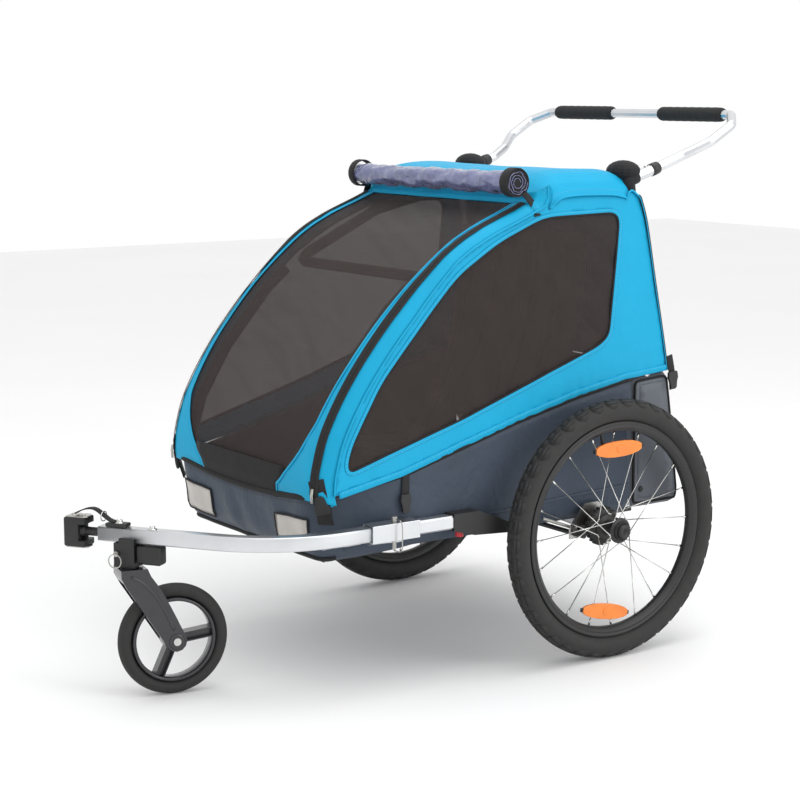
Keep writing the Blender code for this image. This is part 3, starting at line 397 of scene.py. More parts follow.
def bent(corners, radius, steps=6, closed=False):
    """A line through corners, with each corner rounded off."""
    line, many = [], len(corners)
    for i, corner in enumerate(corners):
        if not closed and i in (0, many - 1):
            line.append(corner.copy())
            continue
        back, on = corners[i - 1] - corner, corners[(i + 1) % many] - corner
        reach = min(radius, back.length * 0.48, on.length * 0.48)
        a, b = corner + back.normalized() * reach, corner + on.normalized() * reach
        line += [a.lerp(corner, t).lerp(corner.lerp(b, t), t) for t in (k / steps for k in range(steps + 1))]
    return line


def spaced(line, gap, closed=False):
    """The same line with points an even distance apart."""
    ends = line + line[:1] if closed else line
    lengths = [0.0]
    for a, b in zip(ends, ends[1:]):
        lengths.append(lengths[-1] + (b - a).length)
    many = max(2, round(lengths[-1] / gap))
    made, k = [], 0
    for i in range(many if closed else many + 1):
        reach = lengths[-1] * i / many
        while k < len(lengths) - 2 and lengths[k + 1] < reach:
            k += 1
        span = lengths[k + 1] - lengths[k]
        made.append(ends[k].lerp(ends[k + 1], (reach - lengths[k]) / span if span else 0))
    return made


def turned(name, profile, centre, sign, material, steps=48, smooth=True):
    """A closed profile of (radius, distance outboard), turned about an axle along X."""
    points = [
        Vector(centre) + Vector((sign * out, r * math.cos(2 * math.pi * i / steps), r * math.sin(2 * math.pi * i / steps)))
        for i in range(steps)
        for r, out in profile
    ]
    n = len(profile)
    faces = [
        (i * n + j, i * n + (j + 1) % n, (i + 1) % steps * n + (j + 1) % n, (i + 1) % steps * n + j)
        for i in range(steps)
        for j in range(n)
    ]
    return face_out(as_piece(name, points, faces, material, smooth))


def slab(name, outline, low, high, to_space, material, edge=0.0015):
    """An outline of (a, b) made solid from low to high, placed by to_space(a, b, height)."""
    n = len(outline)
    points = [to_space(a, b, h) for h in (low, high) for a, b in outline]
    faces = [(i, (i + 1) % n, n + (i + 1) % n, n + i) for i in range(n)]
    faces += [tuple(range(n)), tuple(range(n, 2 * n))]
    piece = face_out(as_piece(name, points, faces, material))
    return soften(piece, edge) if edge else piece


def cut_cloth(name, outline, holes, gap, to_space, material, thickness=0.0012, inside=CABIN):
    """A flat cut of cloth, filled with even triangles so that it can bulge and pucker."""
    points, edges = [], []
    for loop in [outline, *holes]:
        first = len(points)
        points += [p.copy() for p in loop]
        edges += [(first + i, first + (i + 1) % len(loop)) for i in range(len(loop))]
    near = kdtree.KDTree(len(points))
    for i, p in enumerate(points):
        near.insert((p.x, p.y, 0), i)
    near.balance()
    low = Vector((min(p.x for p in outline), min(p.y for p in outline)))
    high = Vector((max(p.x for p in outline), max(p.y for p in outline)))
    for j in range(int((high.y - low.y) / (gap * 0.87)) + 1):
        for i in range(int((high.x - low.x) / gap) + 1):
            p = low + Vector(((i + 0.5 * (j % 2)) * gap, j * gap * 0.87))
            if near.find((p.x, p.y, 0))[2] > gap * 0.62:
                points.append(p)
    made, _, triangles, *_ = geometry.delaunay_2d_cdt(points, edges, [], 0, 1e-7)

    def inside_loop(p, loop):
        odd = False
        for a, b in zip(loop, loop[1:] + loop[:1]):
            if (a.y > p.y) != (b.y > p.y) and p.x < a.x + (b.x - a.x) * (p.y - a.y) / (b.y - a.y):
                odd = not odd
        return odd

    def kept(triangle):
        middle = sum((made[v] for v in triangle), Vector((0, 0))) / 3
        return inside_loop(middle, outline) and not any(inside_loop(middle, hole) for hole in holes)

    triangles = [t for t in triangles if kept(t)]
    used = sorted({v for t in triangles for v in t})
    at = {v: i for i, v in enumerate(used)}
    piece = as_piece(name, [to_space(*made[v]) for v in used], [tuple(at[v] for v in t) for t in triangles], material)
    face_out(piece, inside)
    return thicken(piece, thickness) if thickness else piece


print("shape helpers ready")

# %% The floor's paint
floor_paint = finish("pale_floor_paint", "#F4F4F4", "#EFEFEF", 0.8, 900, 40, 0.01)

# %% [markdown]
# ## The cover's surface
# The cover is one skin: up the raked front, over the roof and down the back, with flat sides. Its
# outline is drawn once, seen from the side, and the skin pulls in from it as it nears the sides,
# because the cloth turns the corner in a soft curve. One function gives any point of that skin, so
# panel, zip and piping all lie on the same surface.

# %% The outline and the skin
FRONT = [(-0.614, 0.374), (-0.609, 0.418), (-0.585, 0.491), (-0.525, 0.588), (-0.434, 0.694), (-0.334, 0.779), (-0.259, 0.823), (-0.148, 0.869)]
ROOF = [(-0.140, 0.892), (-0.085, 0.924), (0.030, 0.927), (0.090, 0.918), (0.118, 0.900)]
BACK = [(0.125, 0.875), (0.142, 0.825), (0.165, 0.717), (0.191, 0.597), (0.203, 0.535)]
BELT = [(-0.607, 0.362), (-0.443, 0.393), (-0.181, 0.468), (-0.040, 0.502), (0.085, 0.525), (0.203, 0.535)]
SIDE_X = 0.288
PULL_X = (0.236, 0.257, 0.276, 0.288)
PULLS = {"front": (0, 0.003, 0.016, 0.030), "upper": (0, 0, 0.003, 0.017), "roof": (0, 0.007, 0.024, 0.048), "back": (0, 0.001, 0.004, 0.012)}
KINDS = ["front"] * 5 + ["upper"] * 3 + ["roof"] * 5 + ["back"] * 5


def table_value(table, at):
    """A value from pairs of (place, value), straight between them."""
    if at <= table[0][0]:
        return table[0][1]
    for (a, va), (b, vb) in zip(table, table[1:]):
        if at <= b:
            return va + (vb - va) * (at - a) / (b - a)
    return table[-1][1]


side_line = [Vector(p) for p in FRONT + ROOF + BACK]
SKIN = len(side_line) - 1


def outline_at(u):
    """The side outline (y, z) and its outward direction, at u from 0 at the foot of the front to SKIN at the foot of the back."""
    i = min(int(u), SKIN - 1)
    t = u - i
    p = [side_line[max(0, min(SKIN, i + k))] for k in (-1, 0, 1, 2)]
    curve = 0.5 * (2 * p[1] + (p[2] - p[0]) * t + (2 * p[0] - 5 * p[1] + 4 * p[2] - p[3]) * t * t + (3 * p[1] - p[0] - 3 * p[2] + p[3]) * t**3)
    slope = 0.5 * ((p[2] - p[0]) + 2 * (2 * p[0] - 5 * p[1] + 4 * p[2] - p[3]) * t + 3 * (3 * p[1] - p[0] - 3 * p[2] + p[3]) * t * t)
    slope = slope if slope.length > 1e-6 else p[2] - p[1]
    return curve, Vector((-slope.y, slope.x)).normalized()


def pull_at(u, x):
    """How far the skin is drawn in at that distance from the middle."""
    i = min(int(u), SKIN - 1)
    t = u - i
    a, b = (table_value(list(zip(PULL_X, PULLS[KINDS[k]])), abs(x)) for k in (i, i + 1))
    return a + (b - a) * t


def skin(u, x, lift=0.0):
    """A point of the cover, lifted off it by that much. Below 0 the cloth runs on down behind the nose's trim."""
    at, out = outline_at(max(u, 0))
    at = at + out * (lift - pull_at(max(u, 0), x)) + Vector((-0.006, 0.028)) * min(u, 0)
    return place(x, at.x, at.y)


def skin_out(u, x):
    """The direction that faces away from the cover at that point."""
    step = 0.004 if x >= 0 else -0.004
    across = skin(u, min(SIDE_X, abs(x)) * (1 if x >= 0 else -1)) - skin(u, x - step)
    _, out = outline_at(max(u, 0))
    flat = Vector((0, out.x, out.y))
    side = across - flat * across.dot(flat)
    normal = (flat * abs(side.x) + Vector((1 if x >= 0 else -1, 0, 0)) * max(0.0, -across.dot(flat))).normalized()
    return normal


def along_skin(x, start, end, step, lift):
    """A line of (point, outward) pairs down the cover at one distance from the middle."""
    many = max(2, round((end - start) / step))
    us = [start + (end - start) * i / many for i in range(many + 1)]
    return [(skin(u, x, lift), skin_out(u, x)) for u in us]


FRONT_TOP = 6.95
MESH_EDGE = [(-1.0, 0.132), (0, 0.140), (0.6, 0.165), (1.0, 0.187), (1.4, 0.207), (2.0, 0.230), (3.0, 0.238), (4.0, 0.242), (5.0, 0.243), (6.0, 0.240), (7.0, 0.234)]
print("skin runs", SKIN, "spans; roof at", tuple(round(v, 3) for v in skin(9.5, 0)))

# %% [markdown]
# ## The cover's cloth
# Three cuts of blue cloth are sewn together: a pair of strips beside the front mesh, the roof and
# back in one run, and two flat side panels with the window cut out. Seen close, a panel is never
# flat. It dips between its tubes, and it gathers into short puckers along the belt, where it is
# tied down over the tub. The puckers are a fine wave that fades out above the belt.

# %% Roof, back and front strips
US = [FRONT_TOP + (SKIN - FRONT_TOP) * i / 66 for i in range(67)]
XS = [SIDE_X * math.sin(math.pi / 2 * i / 22) if abs(i) < 22 else SIDE_X * (1 if i > 0 else -1) for i in range(-22, 23)]
XS = sorted(set(round(x, 5) for x in XS) | {0.257, -0.257, 0.276, -0.276, 0.283, -0.283})


def roof_sag(u, x):
    """Slack cloth between the tubes: a dip in the middle, and soft long folds."""
    middle = max(0.0, 1 - (x / 0.26) ** 2)
    return -0.004 * middle * math.sin(math.pi * min(1, max(0, (u - 8) / 5))) + 0.0016 * noise.noise(Vector((x * 9, u * 1.3, 0)))


roof_rows = [[skin(u, x, roof_sag(u, x)) for x in XS] for u in US]
strip_us = [-0.6 + (FRONT_TOP + 0.6) * i / 76 for i in range(77)]
strips = []
for sign in (1, -1):
    rows = []
    for u in strip_us:
        edge = table_value(MESH_EDGE, u)
        rows.append([skin(u, sign * (edge + (SIDE_X - edge) * k / 10), 0.0009 * noise.noise(Vector((k * 0.5, u * 4, sign)))) for k in range(11)])
    strips.append(rows)


def belt_z(y):
    return table_value(BELT, y)


def smooth(t):
    t = max(0.0, min(1.0, t))
    return t * t * (3 - 2 * t)


WINDOW = [(-0.118, 0.842), (0.066, 0.846), (0.044, 0.610), (0.014, 0.590), (-0.300, 0.482), (-0.559, 0.406), (-0.549, 0.450), (-0.484, 0.562), (-0.387, 0.670), (-0.318, 0.743), (-0.224, 0.800)]


def window_loop(grow, gap):
    """The window's outline with eased corners, grown by that much."""
    loop = bent([Vector(p) for p in WINDOW], 0.030, 5, closed=True)
    middle = []
    for i, p in enumerate(loop):
        along = (loop[(i + 1) % len(loop)] - loop[i - 1]).normalized()
        middle.append(p + Vector((-along.y, along.x)) * grow)
    return spaced(middle, gap, closed=True)


def side_shape(sign):
    """Where a point (y, z) of a side panel lies: dips inside, and puckers along the belt."""

    def to_space(y, z):
        above = z - belt_z(y)
        dip = 0.0022 * smooth((above - 0.01) / 0.06) * smooth((0.20 - y) / 0.1)
        pucker = 0.0014 * math.sin(y * 190 + 2.6 * math.sin(y * 31)) * (0.5 + noise.noise(Vector((y * 17, 0, sign)))) * (1 - smooth((above - 0.004) / 0.050)) * smooth((y + 0.45) / 0.25)
        drift = 0.0012 * noise.noise(Vector((y * 14, z * 14, 3.0 * sign)))
        return place(sign * (SIDE_X - dip + pucker + drift), y, z)

    return to_space


side_top = [Vector(outline_at(u)[0] - outline_at(u)[1] * pull_at(u, SIDE_X)) for u in [SKIN * i / 150 for i in range(151)]]
side_low = [Vector((p[0], p[1] + 0.0005)) for p in BELT[1:-1]]
panel_outline = spaced(side_top[::-1] + side_low, 0.009, closed=True)
for side, sign, rows in (("left", 1, strips[0]), ("right", -1, strips[1])):
    panel = cut_cloth(f"cover_side_{side}", panel_outline, [window_loop(0.0, 0.009)], 0.010, side_shape(sign), blue_cloth)
    strip = sheet_of(f"cover_front_strip_{side}", rows, blue_cloth)
    for piece in (panel, strip):
        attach(piece, "base")
roof = sheet_of("cover_roof_and_back", roof_rows, blue_cloth)
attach(roof, "base")
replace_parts(roof, "canopy_shell")
print("cover points", len(roof.data.vertices) + len(panel.data.vertices) * 2)

# %% [markdown]
# ## Folding cloth
# The cover, its windows and all that is sewn to them crumple downwards as the real frame folds. Each
# such piece is listed here, and at the end it is given a mesh of its own.

# %% What folds
folding = []


def folds(*pieces):
    folding.extend(pieces)
    return pieces[0]


def sewn(piece, slot_name, body="base", fold=True):
    """Rides a piece on a body, and adds it to the list of folding cloth when fold is set. slot_name is not used."""
    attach(piece, body)
    return folds(piece) if fold else piece


for name in ("cover_side_left", "cover_side_right", "cover_front_strip_left", "cover_front_strip_right", "cover_roof_and_back"):
    folds(bpy.data.objects[name])

# %% [markdown]
# ## Copies along a seam
# Stitches and zip teeth repeat along a line, so a Geometry Nodes tree sets them out: it spaces
# points along a seam and puts one copy of a small piece on each, turned to the seam and to the
# cloth. Copies are made real at the end and given their finish, and the result is kept as a mesh.

# %% The seam tree
def new_tree(name, sockets):
    tree = bpy.data.node_groups.new(name, "GeometryNodeTree")
    for label, kind in sockets:
        tree.interface.new_socket(label, in_out="INPUT", socket_type="NodeSocket" + kind)
    tree.interface.new_socket("Geometry", in_out="OUTPUT", socket_type="NodeSocketGeometry")
    return tree, node(tree, "NodeGroupInput").outputs


seam_tree, given = new_tree("along a seam", [("Geometry", "Geometry"), ("Piece", "Object"), ("Spacing", "Float"), ("Finish", "Material")])
curve = node(seam_tree, "GeometryNodeMeshToCurve", {"Mesh": given["Geometry"]})
even = node(seam_tree, "GeometryNodeResampleCurve", {"Curve": curve, "Length": given["Spacing"]}, mode="LENGTH")
tangent = node(seam_tree, "GeometryNodeInputTangent")
along = node(seam_tree, "FunctionNodeAlignRotationToVector", {"Vector": tangent}, axis="X")
outward = node(seam_tree, "GeometryNodeInputNamedAttribute", {"Name": "outward"}, data_type="FLOAT_VECTOR")
upright = node(
    seam_tree, "FunctionNodeAlignRotationToVector", {"Rotation": along, "Vector": outward.outputs["Attribute"]}, axis="Z", pivot_axis="X"
)
small = node(seam_tree, "GeometryNodeObjectInfo", {"Object": given["Piece"]})
copies = node(
    seam_tree, "GeometryNodeInstanceOnPoints", {"Points": even, "Instance": small.outputs["Geometry"], "Rotation": upright}
)
real = node(seam_tree, "GeometryNodeRealizeInstances", {"Geometry": copies})
coated = node(seam_tree, "GeometryNodeSetMaterial", {"Geometry": real, "Material": given["Finish"]})
node(seam_tree, "NodeGroupOutput", {"Geometry": coated})


def grown(name, base, tree, values):
    """Runs a Geometry Nodes tree on a mesh and keeps what it makes as a plain mesh."""
    holder = bpy.data.objects.new(name, base)
    scene.collection.objects.link(holder)
    step = holder.modifiers.new("repeat", "NODES")
    step.node_group = tree
    for item in tree.interface.items_tree:
        if item.item_type == "SOCKET" and item.in_out == "INPUT" and item.name in values:
            step[item.identifier] = values[item.name]
    plain(holder)
    holder.data.materials.clear()
    holder.data.materials.append(values["Finish"])
    for face in holder.data.polygons:
        face.use_smooth, face.material_index = True, 0
    return holder


def helper(points, faces):
    """A small piece that is only there to be copied."""
    made = as_piece("small_piece", points, faces, nylon)
    face_out(made)
    made.hide_render = True
    return made


def bar(length, width, height):
    """A low bar with tapered ends: one stitch, or one zip tooth."""
    a, b, w, h = length / 2, length / 4, width / 2, height
    points = [(-a, 0, 0), (-b, -w, 0), (-b, 0, h), (-b, w, 0), (b, -w, 0), (b, 0, h), (b, w, 0), (a, 0, 0)]
    faces = [(0, 1, 2), (0, 2, 3), (1, 4, 5, 2), (2, 5, 6, 3), (4, 7, 5), (5, 7, 6), (0, 3, 6, 7, 4, 1)]
    return helper(points, faces)


stitch, tooth = bar(0.0034, 0.0008, 0.0004), bar(0.0026, 0.0062, 0.0013)


def along_seams(name, seams, piece, gap, material):
    """Copies of a small piece along seams, each a list of (point, outward) pairs."""
    data = bpy.data.meshes.new(name)
    points = [pair for seam in seams for pair in seam]
    edges, first = [], 0
    for seam in seams:
        edges += [(first + i, first + i + 1) for i in range(len(seam) - 1)]
        first += len(seam)
    data.from_pydata([tuple(p) for p, _ in points], edges, [])
    outs = data.attributes.new("outward", "FLOAT_VECTOR", "POINT")
    outs.data.foreach_set("vector", [c for _, out in points for c in out])
    return grown(name, data, seam_tree, {"Piece": piece, "Spacing": gap, "Finish": material})


def flat_on(name, seam, width, thickness, material, closed=False):
    """A flat strap or tape laid along (point, outward) pairs."""
    return swept(name, [p for p, _ in seam], strap(width, thickness), material, [out for _, out in seam], closed=closed)


print("seam tree nodes", len(seam_tree.nodes))

# %% [markdown]
# ## Front mesh, bottom panel and zips
# The front is a bug screen: knitted mesh from the roof's hem down to a solid black panel over the
# child's feet. A coil zip on black tape runs down each side of it, so that the front rolls up.

# %% The front
mesh_rows = []
for i in range(61):
    u = -1.0 + (FRONT_TOP + 1.0) * i / 60
    edge = table_value(MESH_EDGE, u) + 0.004
    mesh_rows.append([skin(u, edge * k / 12, -0.0022 - 0.006 * (1 - (k / 12) ** 2) * math.sin(math.pi * i / 60)) for k in range(-12, 13)])
front = sheet_of("front_mesh_screen", mesh_rows, open_mesh, 0)
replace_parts(sewn(front, "black_mesh"), "front_mesh")

low_rows = []
for i in range(13):
    u = -1.0 + 1.8 * i / 12
    half = min(0.161, table_value(MESH_EDGE, u) + 0.002)
    low_rows.append([skin(u, half * k / 10, 0.0012) for k in range(-10, 11)])
sewn(sheet_of("front_solid_panel", low_rows, black_cloth), "black_mesh")

zip_x = 0.260
zips, teeth = [], []
for side, sign in (("left", 1), ("right", -1)):
    tape_line = along_skin(sign * zip_x, -0.3, FRONT_TOP + 0.02, 0.12, 0.0014)
    sewn(flat_on(f"zip_tape_{side}", tape_line, 0.017, 0.0012, webbing), "webbing")
    teeth.append(along_skin(sign * zip_x, 0.08, FRONT_TOP, 0.05, 0.0021))
    hem = []
    for i in range(80):
        u = -0.8 + (FRONT_TOP + 0.8) * i / 79
        edge = table_value(MESH_EDGE, u)
        hem.append((skin(u, sign * edge, 0.0006), skin_out(u, sign * edge)))
    sewn(flat_on(f"mesh_hem_{side}", hem, 0.005, 0.0014, blue_cloth), "blue_fabric")
    pull_at_foot = skin(0.30, sign * zip_x, 0.0045)
    tab = [pull_at_foot, pull_at_foot + Vector((0, -0.002, -0.012)), pull_at_foot + Vector((0, -0.001, -0.026))]
    sewn(swept(f"zip_pull_{side}", tab, strap(0.007, 0.0024), steel, (0, -1, 0)), "steel")
sewn(along_seams("zip_teeth", teeth, tooth, 0.0040, nylon), "black_plastic")

# %% [markdown]
# ## Side windows
# Each side has one large window of the same knitted mesh, bound in black and set behind a sewn
# hem of the blue cloth, with a line of light stitching. The mesh hangs a little slack.

# %% Windows and their hems
WINDOW_MIDDLE = Vector((-0.20, 0.66))
stitches = []
for side, sign in (("left", 1), ("right", -1)):

    def pane(y, z, sign=sign):
        near_middle = max(0.0, 1 - ((Vector((y, z)) - WINDOW_MIDDLE).length / 0.30) ** 2)
        fold = 0.0007 * math.sin((y + z) * 70 + 5 * noise.noise(Vector((y * 6, z * 6, 1))))
        return place(sign * (SIDE_X - 0.0030 - 0.0040 * near_middle + fold), y, z)

    glass = cut_cloth(f"window_mesh_{side}", window_loop(0.003, 0.010), [], 0.012, pane, open_mesh, 0)
    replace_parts(sewn(glass, "black_mesh"), f"side_window_{side}")
    shape = side_shape(sign)
    out = Vector((sign, 0, 0))
    hem = [(shape(p.x, p.y) + out * 0.0008, out) for p in window_loop(0.004, 0.008)]
    sewn(flat_on(f"window_hem_{side}", hem, 0.007, 0.0012, blue_cloth, closed=True), "blue_fabric")
    binding = [(shape(p.x, p.y) + out * 0.0002, out) for p in window_loop(-0.001, 0.008)]
    sewn(flat_on(f"window_binding_{side}", binding, 0.0045, 0.0018, black_cloth, closed=True), "webbing")
    line = [(shape(p.x, p.y) + out * 0.0015, out) for p in window_loop(0.0052, 0.004)]
    stitches.append(line + line[:1])
    for x_in in (0.2835,):
        stitches.append([(skin(u, sign * x_in, 0.0006), skin_out(u, sign * x_in)) for u in [FRONT_TOP + (SKIN - FRONT_TOP) * i / 120 for i in range(121)]])
    seam = [(skin(u, sign * SIDE_X, 0.0006) + out * 0.0010, (out + skin_out(u, sign * 0.27)).normalized()) for u in [SKIN * i / 160 for i in range(161)]]
    sewn(flat_on(f"cover_side_seam_{side}", seam, 0.0035, 0.0016, blue_cloth), "blue_fabric")
    belt = [(shape(p.x, p.y + 0.003) + out * 0.0010, out) for p in spaced([Vector(p) for p in [(-0.575, 0.368)] + BELT[1:-1] + [(0.196, 0.534)]], 0.006)]
    sewn(flat_on(f"belt_hem_{side}", belt, 0.012, 0.0020, blue_cloth), "blue_fabric")
    stitches.append([(p + out * 0.0013 + Vector((0, 0, 0.003)), o) for p, o in belt])
for u in (8.9, 11.6, 15.4):
    stitches.append([(skin(u, x, 0.0007 + roof_sag(u, x)), skin_out(u, 0)) for x in XS if abs(x) < 0.262])
sewn(along_seams("cover_stitching", stitches, stitch, 0.0064, thread), "blue_fabric")

# %% [markdown]
# ## The tub
# Below the belt hangs a tub of tough grey cloth: the child's footwell, with a nose at the front. It
# is sewn from one wall and a floor. The wall follows a plan that narrows at the nose, leans in as
# it goes down, and turns under in a soft edge. The cloth hangs between its binding and the base
# tubes, so it sags and creases, most of all at the nose.

# %% Tub wall and floor
NOSE = [(0.288, 0.100), (0.288, -0.440), (0.270, -0.560), (0.255, -0.598), (0.225, -0.612), (0.0, -0.612)]
LOWEST = [(-0.612, 0.2360), (-0.570, 0.2360), (-0.515, 0.2410), (-0.410, 0.2585), (0.10, 0.2585)]
half_plan = spaced(bent([Vector((x, y, 0)) for x, y in NOSE], 0.045, 6), 0.011)
plan = half_plan + [Vector((-p.x, p.y, 0)) for p in half_plan[-2::-1]]
plan_out = []
for i, p in enumerate(plan):
    along = (plan[min(i + 1, len(plan) - 1)] - plan[max(i - 1, 0)]).normalized()
    plan_out.append(Vector((-along.y, along.x, 0)) * -1)
if plan_out[0].x < 0:
    plan_out = [-o for o in plan_out]


def tub_top(x, y):
    """The belt, with a dip across the middle of the nose."""
    return belt_z(y) - 0.0008 - 0.013 * smooth((-0.585 - y) / 0.02) * max(0.0, 1 - (x / 0.21) ** 2)


def tub_point(i, v, lift=0.0):
    """A point of the tub's wall: i along the plan, v from 0 at the belt to 1 at the floor."""
    p, out = plan[i], plan_out[i]
    top, low = tub_top(p.x, p.y), table_value(LOWEST, p.y)
    z = top + (low - top) * v
    nose = smooth((-0.40 - p.y) / 0.17)
    turn = max(0.0, 1 - (z - low) / 0.045) ** 2
    inward = (0.005 + 0.010 * v) * nose + turn * (0.014 + 0.018 * nose)
    slack = 0.0030 * noise.noise(Vector((p.x * 9, p.y * 9, z * 16))) * math.sin(math.pi * min(1, v * 1.1))
    crease = 0.0022 * nose * math.sin(p.x * 60 + 40 * z + 4 * noise.noise(p * 8)) * math.sin(math.pi * v)
    at = p + out * (lift + slack + crease - inward)
    return place(at.x, at.y, z)


wall_rows = [[tub_point(i, (k / 14) ** 0.9) for i in range(len(plan))] for k in range(15)]
edge_row = wall_rows[-1]
floor_rows = []
for i in range(len(half_plan)):
    a, b = edge_row[i], edge_row[len(plan) - 1 - i]
    floor_rows.append([a.lerp(b, k / 16) + Vector((0, 0, -0.0 + 0.004 * noise.noise(Vector((k, i * 0.3, 2))) * math.sin(math.pi * k / 16))) for k in range(17)])
tub_wall = sheet_of("tub_wall", wall_rows, grey_cloth, 0.0014, place(0, -0.2, 0.36))
tub_floor = sheet_of("tub_floor", floor_rows, grey_cloth, 0.0014, place(0, -0.2, 0.36))
for piece in (tub_wall, tub_floor):
    sewn(piece, "grey_fabric", fold=False)
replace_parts(tub_wall, "lower_body")
lining = [[tub_point(i, 0.03 + 0.95 * k / 8, -0.0045) for i in range(0, len(plan))] for k in range(9)]
sewn(sheet_of("tub_lining", lining, black_cloth, 0.0008, place(0, -0.2, 0.36)), "webbing", fold=False)
lining_floor = [[p + Vector((0, 0, 0.0045)) for p in row] for row in floor_rows]
sewn(sheet_of("tub_lining_floor", lining_floor, black_cloth, 0.0008, place(0, -0.2, 0.36)), "webbing", fold=False)


def tub_line(i_from, i_to, v, lift):
    """(point, outward) pairs along the wall."""
    step = 1 if i_to > i_from else -1
    return [(tub_point(i, v, lift), plan_out[i]) for i in range(i_from, i_to + step, step)]


def plan_index(x_sign, y):
    """The plan point of that side which is nearest to a distance from the axle."""
    return min((i for i, p in enumerate(plan) if p.x * x_sign > 0), key=lambda i: abs(plan[i].y - y) + (0 if abs(plan[i].x) > 0.2 else 1))


MANY = len(plan)
near_i, far_i = plan_index(1, -0.545), plan_index(-1, -0.545)
sewn(swept("nose_top_piping", [p for p, _ in tub_line(near_i, far_i, 0.0, 0.0015)], disc(0.0060, 12), black_cloth), "webbing", fold=False)
sewn(swept("nose_bottom_piping", [p for p, _ in tub_line(near_i + 1, far_i - 1, 0.93, 0.0020)], disc(0.0042, 10), webbing), "webbing", fold=False)
for side, sign in (("left", 1), ("right", -1)):
    rear_i = plan_index(sign, 0.095)
    start_i = near_i if sign > 0 else far_i
    band = tub_line(rear_i, start_i, 0.02, 0.0012)
    sewn(flat_on(f"belt_binding_{side}", band, 0.006, 0.0016, black_cloth), "webbing", fold=False)
    low_band = tub_line(rear_i, start_i, 0.80, 0.0010)
    sewn(flat_on(f"tub_seam_{side}", low_band, 0.006, 0.0016, grey_cloth), "grey_fabric", fold=False)
nose_seams = [tub_line(near_i, far_i, 0.10, 0.0012)] + [
    [(p + o * 0.0010, o) for p, o in tub_line(plan_index(s, 0.09), near_i if s > 0 else far_i, 0.785, 0.0012)] for s in (1, -1)
]
sewn(along_seams("tub_stitching", nose_seams, stitch, 0.0066, dark_thread), "grey_fabric", fold=False)

# %% [markdown]
# ## Patches and straps on the nose
# Two reflective patches are sewn to the nose. At each of its corners a webbing strap with a side
# release buckle ties the cover down, and a short loop of webbing hangs over the tow arm's sleeve.

# %% Patches, corner straps and buckles
def buckle(name, centre, along, out, width, body="base", fold=False):
    """A side release buckle: a body with two prongs, lying on a strap."""
    across = Vector(out).cross(Vector(along)).normalized()
    ahead, out = Vector(along).normalized(), Vector(out).normalized()
    w = width / 2
    outline = [(-0.016, -w), (-0.004, -w * 1.15), (0.004, -w * 0.85), (0.016, -w * 0.7), (0.019, -w * 0.3), (0.019, w * 0.3), (0.016, w * 0.7), (0.004, w * 0.85), (-0.004, w * 1.15), (-0.016, w)]
    piece = slab(name, outline, 0.0, 0.0055, lambda a, b, h: centre + ahead * a + across * b + out * h, nylon, 0.0012)
    return sewn(piece, "black_plastic", body, fold)


for side, sign in (("left", 1), ("right", -1)):
    centre_i = min(range(MANY), key=lambda i: abs(plan[i].x - sign * 0.172) + (0 if plan[i].y < -0.59 else 1))
    rows = []
    for k in range(7):
        v = 0.32 + 0.47 * k / 6
        rows.append([tub_point(i, v, 0.0024) for i in range(centre_i - 5, centre_i + 6)])
    sewn(sheet_of(f"reflective_patch_{side}", rows, tape, 0.0012, place(0, -0.2, 0.36)), "grey_fabric", fold=False)
    frame_i = range(centre_i - 5, centre_i + 6)
    loop = [(tub_point(i, 0.32, 0.003), plan_out[i]) for i in frame_i] + [(tub_point(centre_i + 5, 0.32 + 0.47 * k / 5, 0.003), plan_out[centre_i + 5]) for k in range(1, 6)]
    loop += [(tub_point(i, 0.79, 0.003), plan_out[i]) for i in list(frame_i)[-2::-1]] + [(tub_point(centre_i - 5, 0.79 - 0.47 * k / 5, 0.003), plan_out[centre_i - 5]) for k in range(1, 5)]
    sewn(flat_on(f"patch_binding_{side}", loop, 0.0035, 0.0016, webbing, closed=True), "webbing", fold=False)
    out = Vector((sign * 0.55, -0.80, 0.1)).normalized()
    corner = [place(sign * 0.262, -0.607, 0.398), place(sign * 0.267, -0.603, 0.372), place(sign * 0.2665, -0.594, 0.345), place(sign * 0.262, -0.586, 0.316)]
    line = spaced(bent(corner, 0.02, 4), 0.006)
    sewn(flat_on(f"corner_strap_{side}", [(p, out) for p in line], 0.030, 0.0026, webbing), "webbing", fold=False)
    buckle(f"corner_buckle_{side}", line[len(line) // 2 + 1] + out * 0.0010, line[2] - line[8], out, 0.026)
    hook = [place(sign * 0.2875, -0.432, 0.396), place(sign * 0.2895, -0.434, 0.365), place(sign * 0.2895, -0.436, 0.338)]
    sewn(flat_on(f"hook_strap_{side}", [(p, Vector((sign, 0, 0))) for p in spaced(hook, 0.006)], 0.016, 0.0022, webbing), "webbing", fold=False)
    buckle(f"hook_{side}", place(sign * 0.2900, -0.436, 0.342), Vector((0, 0, -1)), Vector((sign, 0, 0)), 0.020)
    cyan_i = plan_index(sign, -0.585)
    tab_row = [[tub_point(i, v, 0.0030) for i in range(cyan_i - 1, cyan_i + 2)] for v in (0.03, 0.10, 0.17)]
    sewn(sheet_of(f"cover_tab_{side}", tab_row, blue_cloth, 0.0012, place(0, -0.2, 0.36)), "blue_fabric", fold=False)

# %% [markdown]
# ## The cargo bag
# Behind the seat hangs a bag for luggage, of the same grey cloth. It is a box by its pattern, but
# nothing keeps it square: its corners are rounded, its panels belly out a little, and its lid is
# closed by a zip. It is built as a rounded loft across the trailer with two bulging ends.

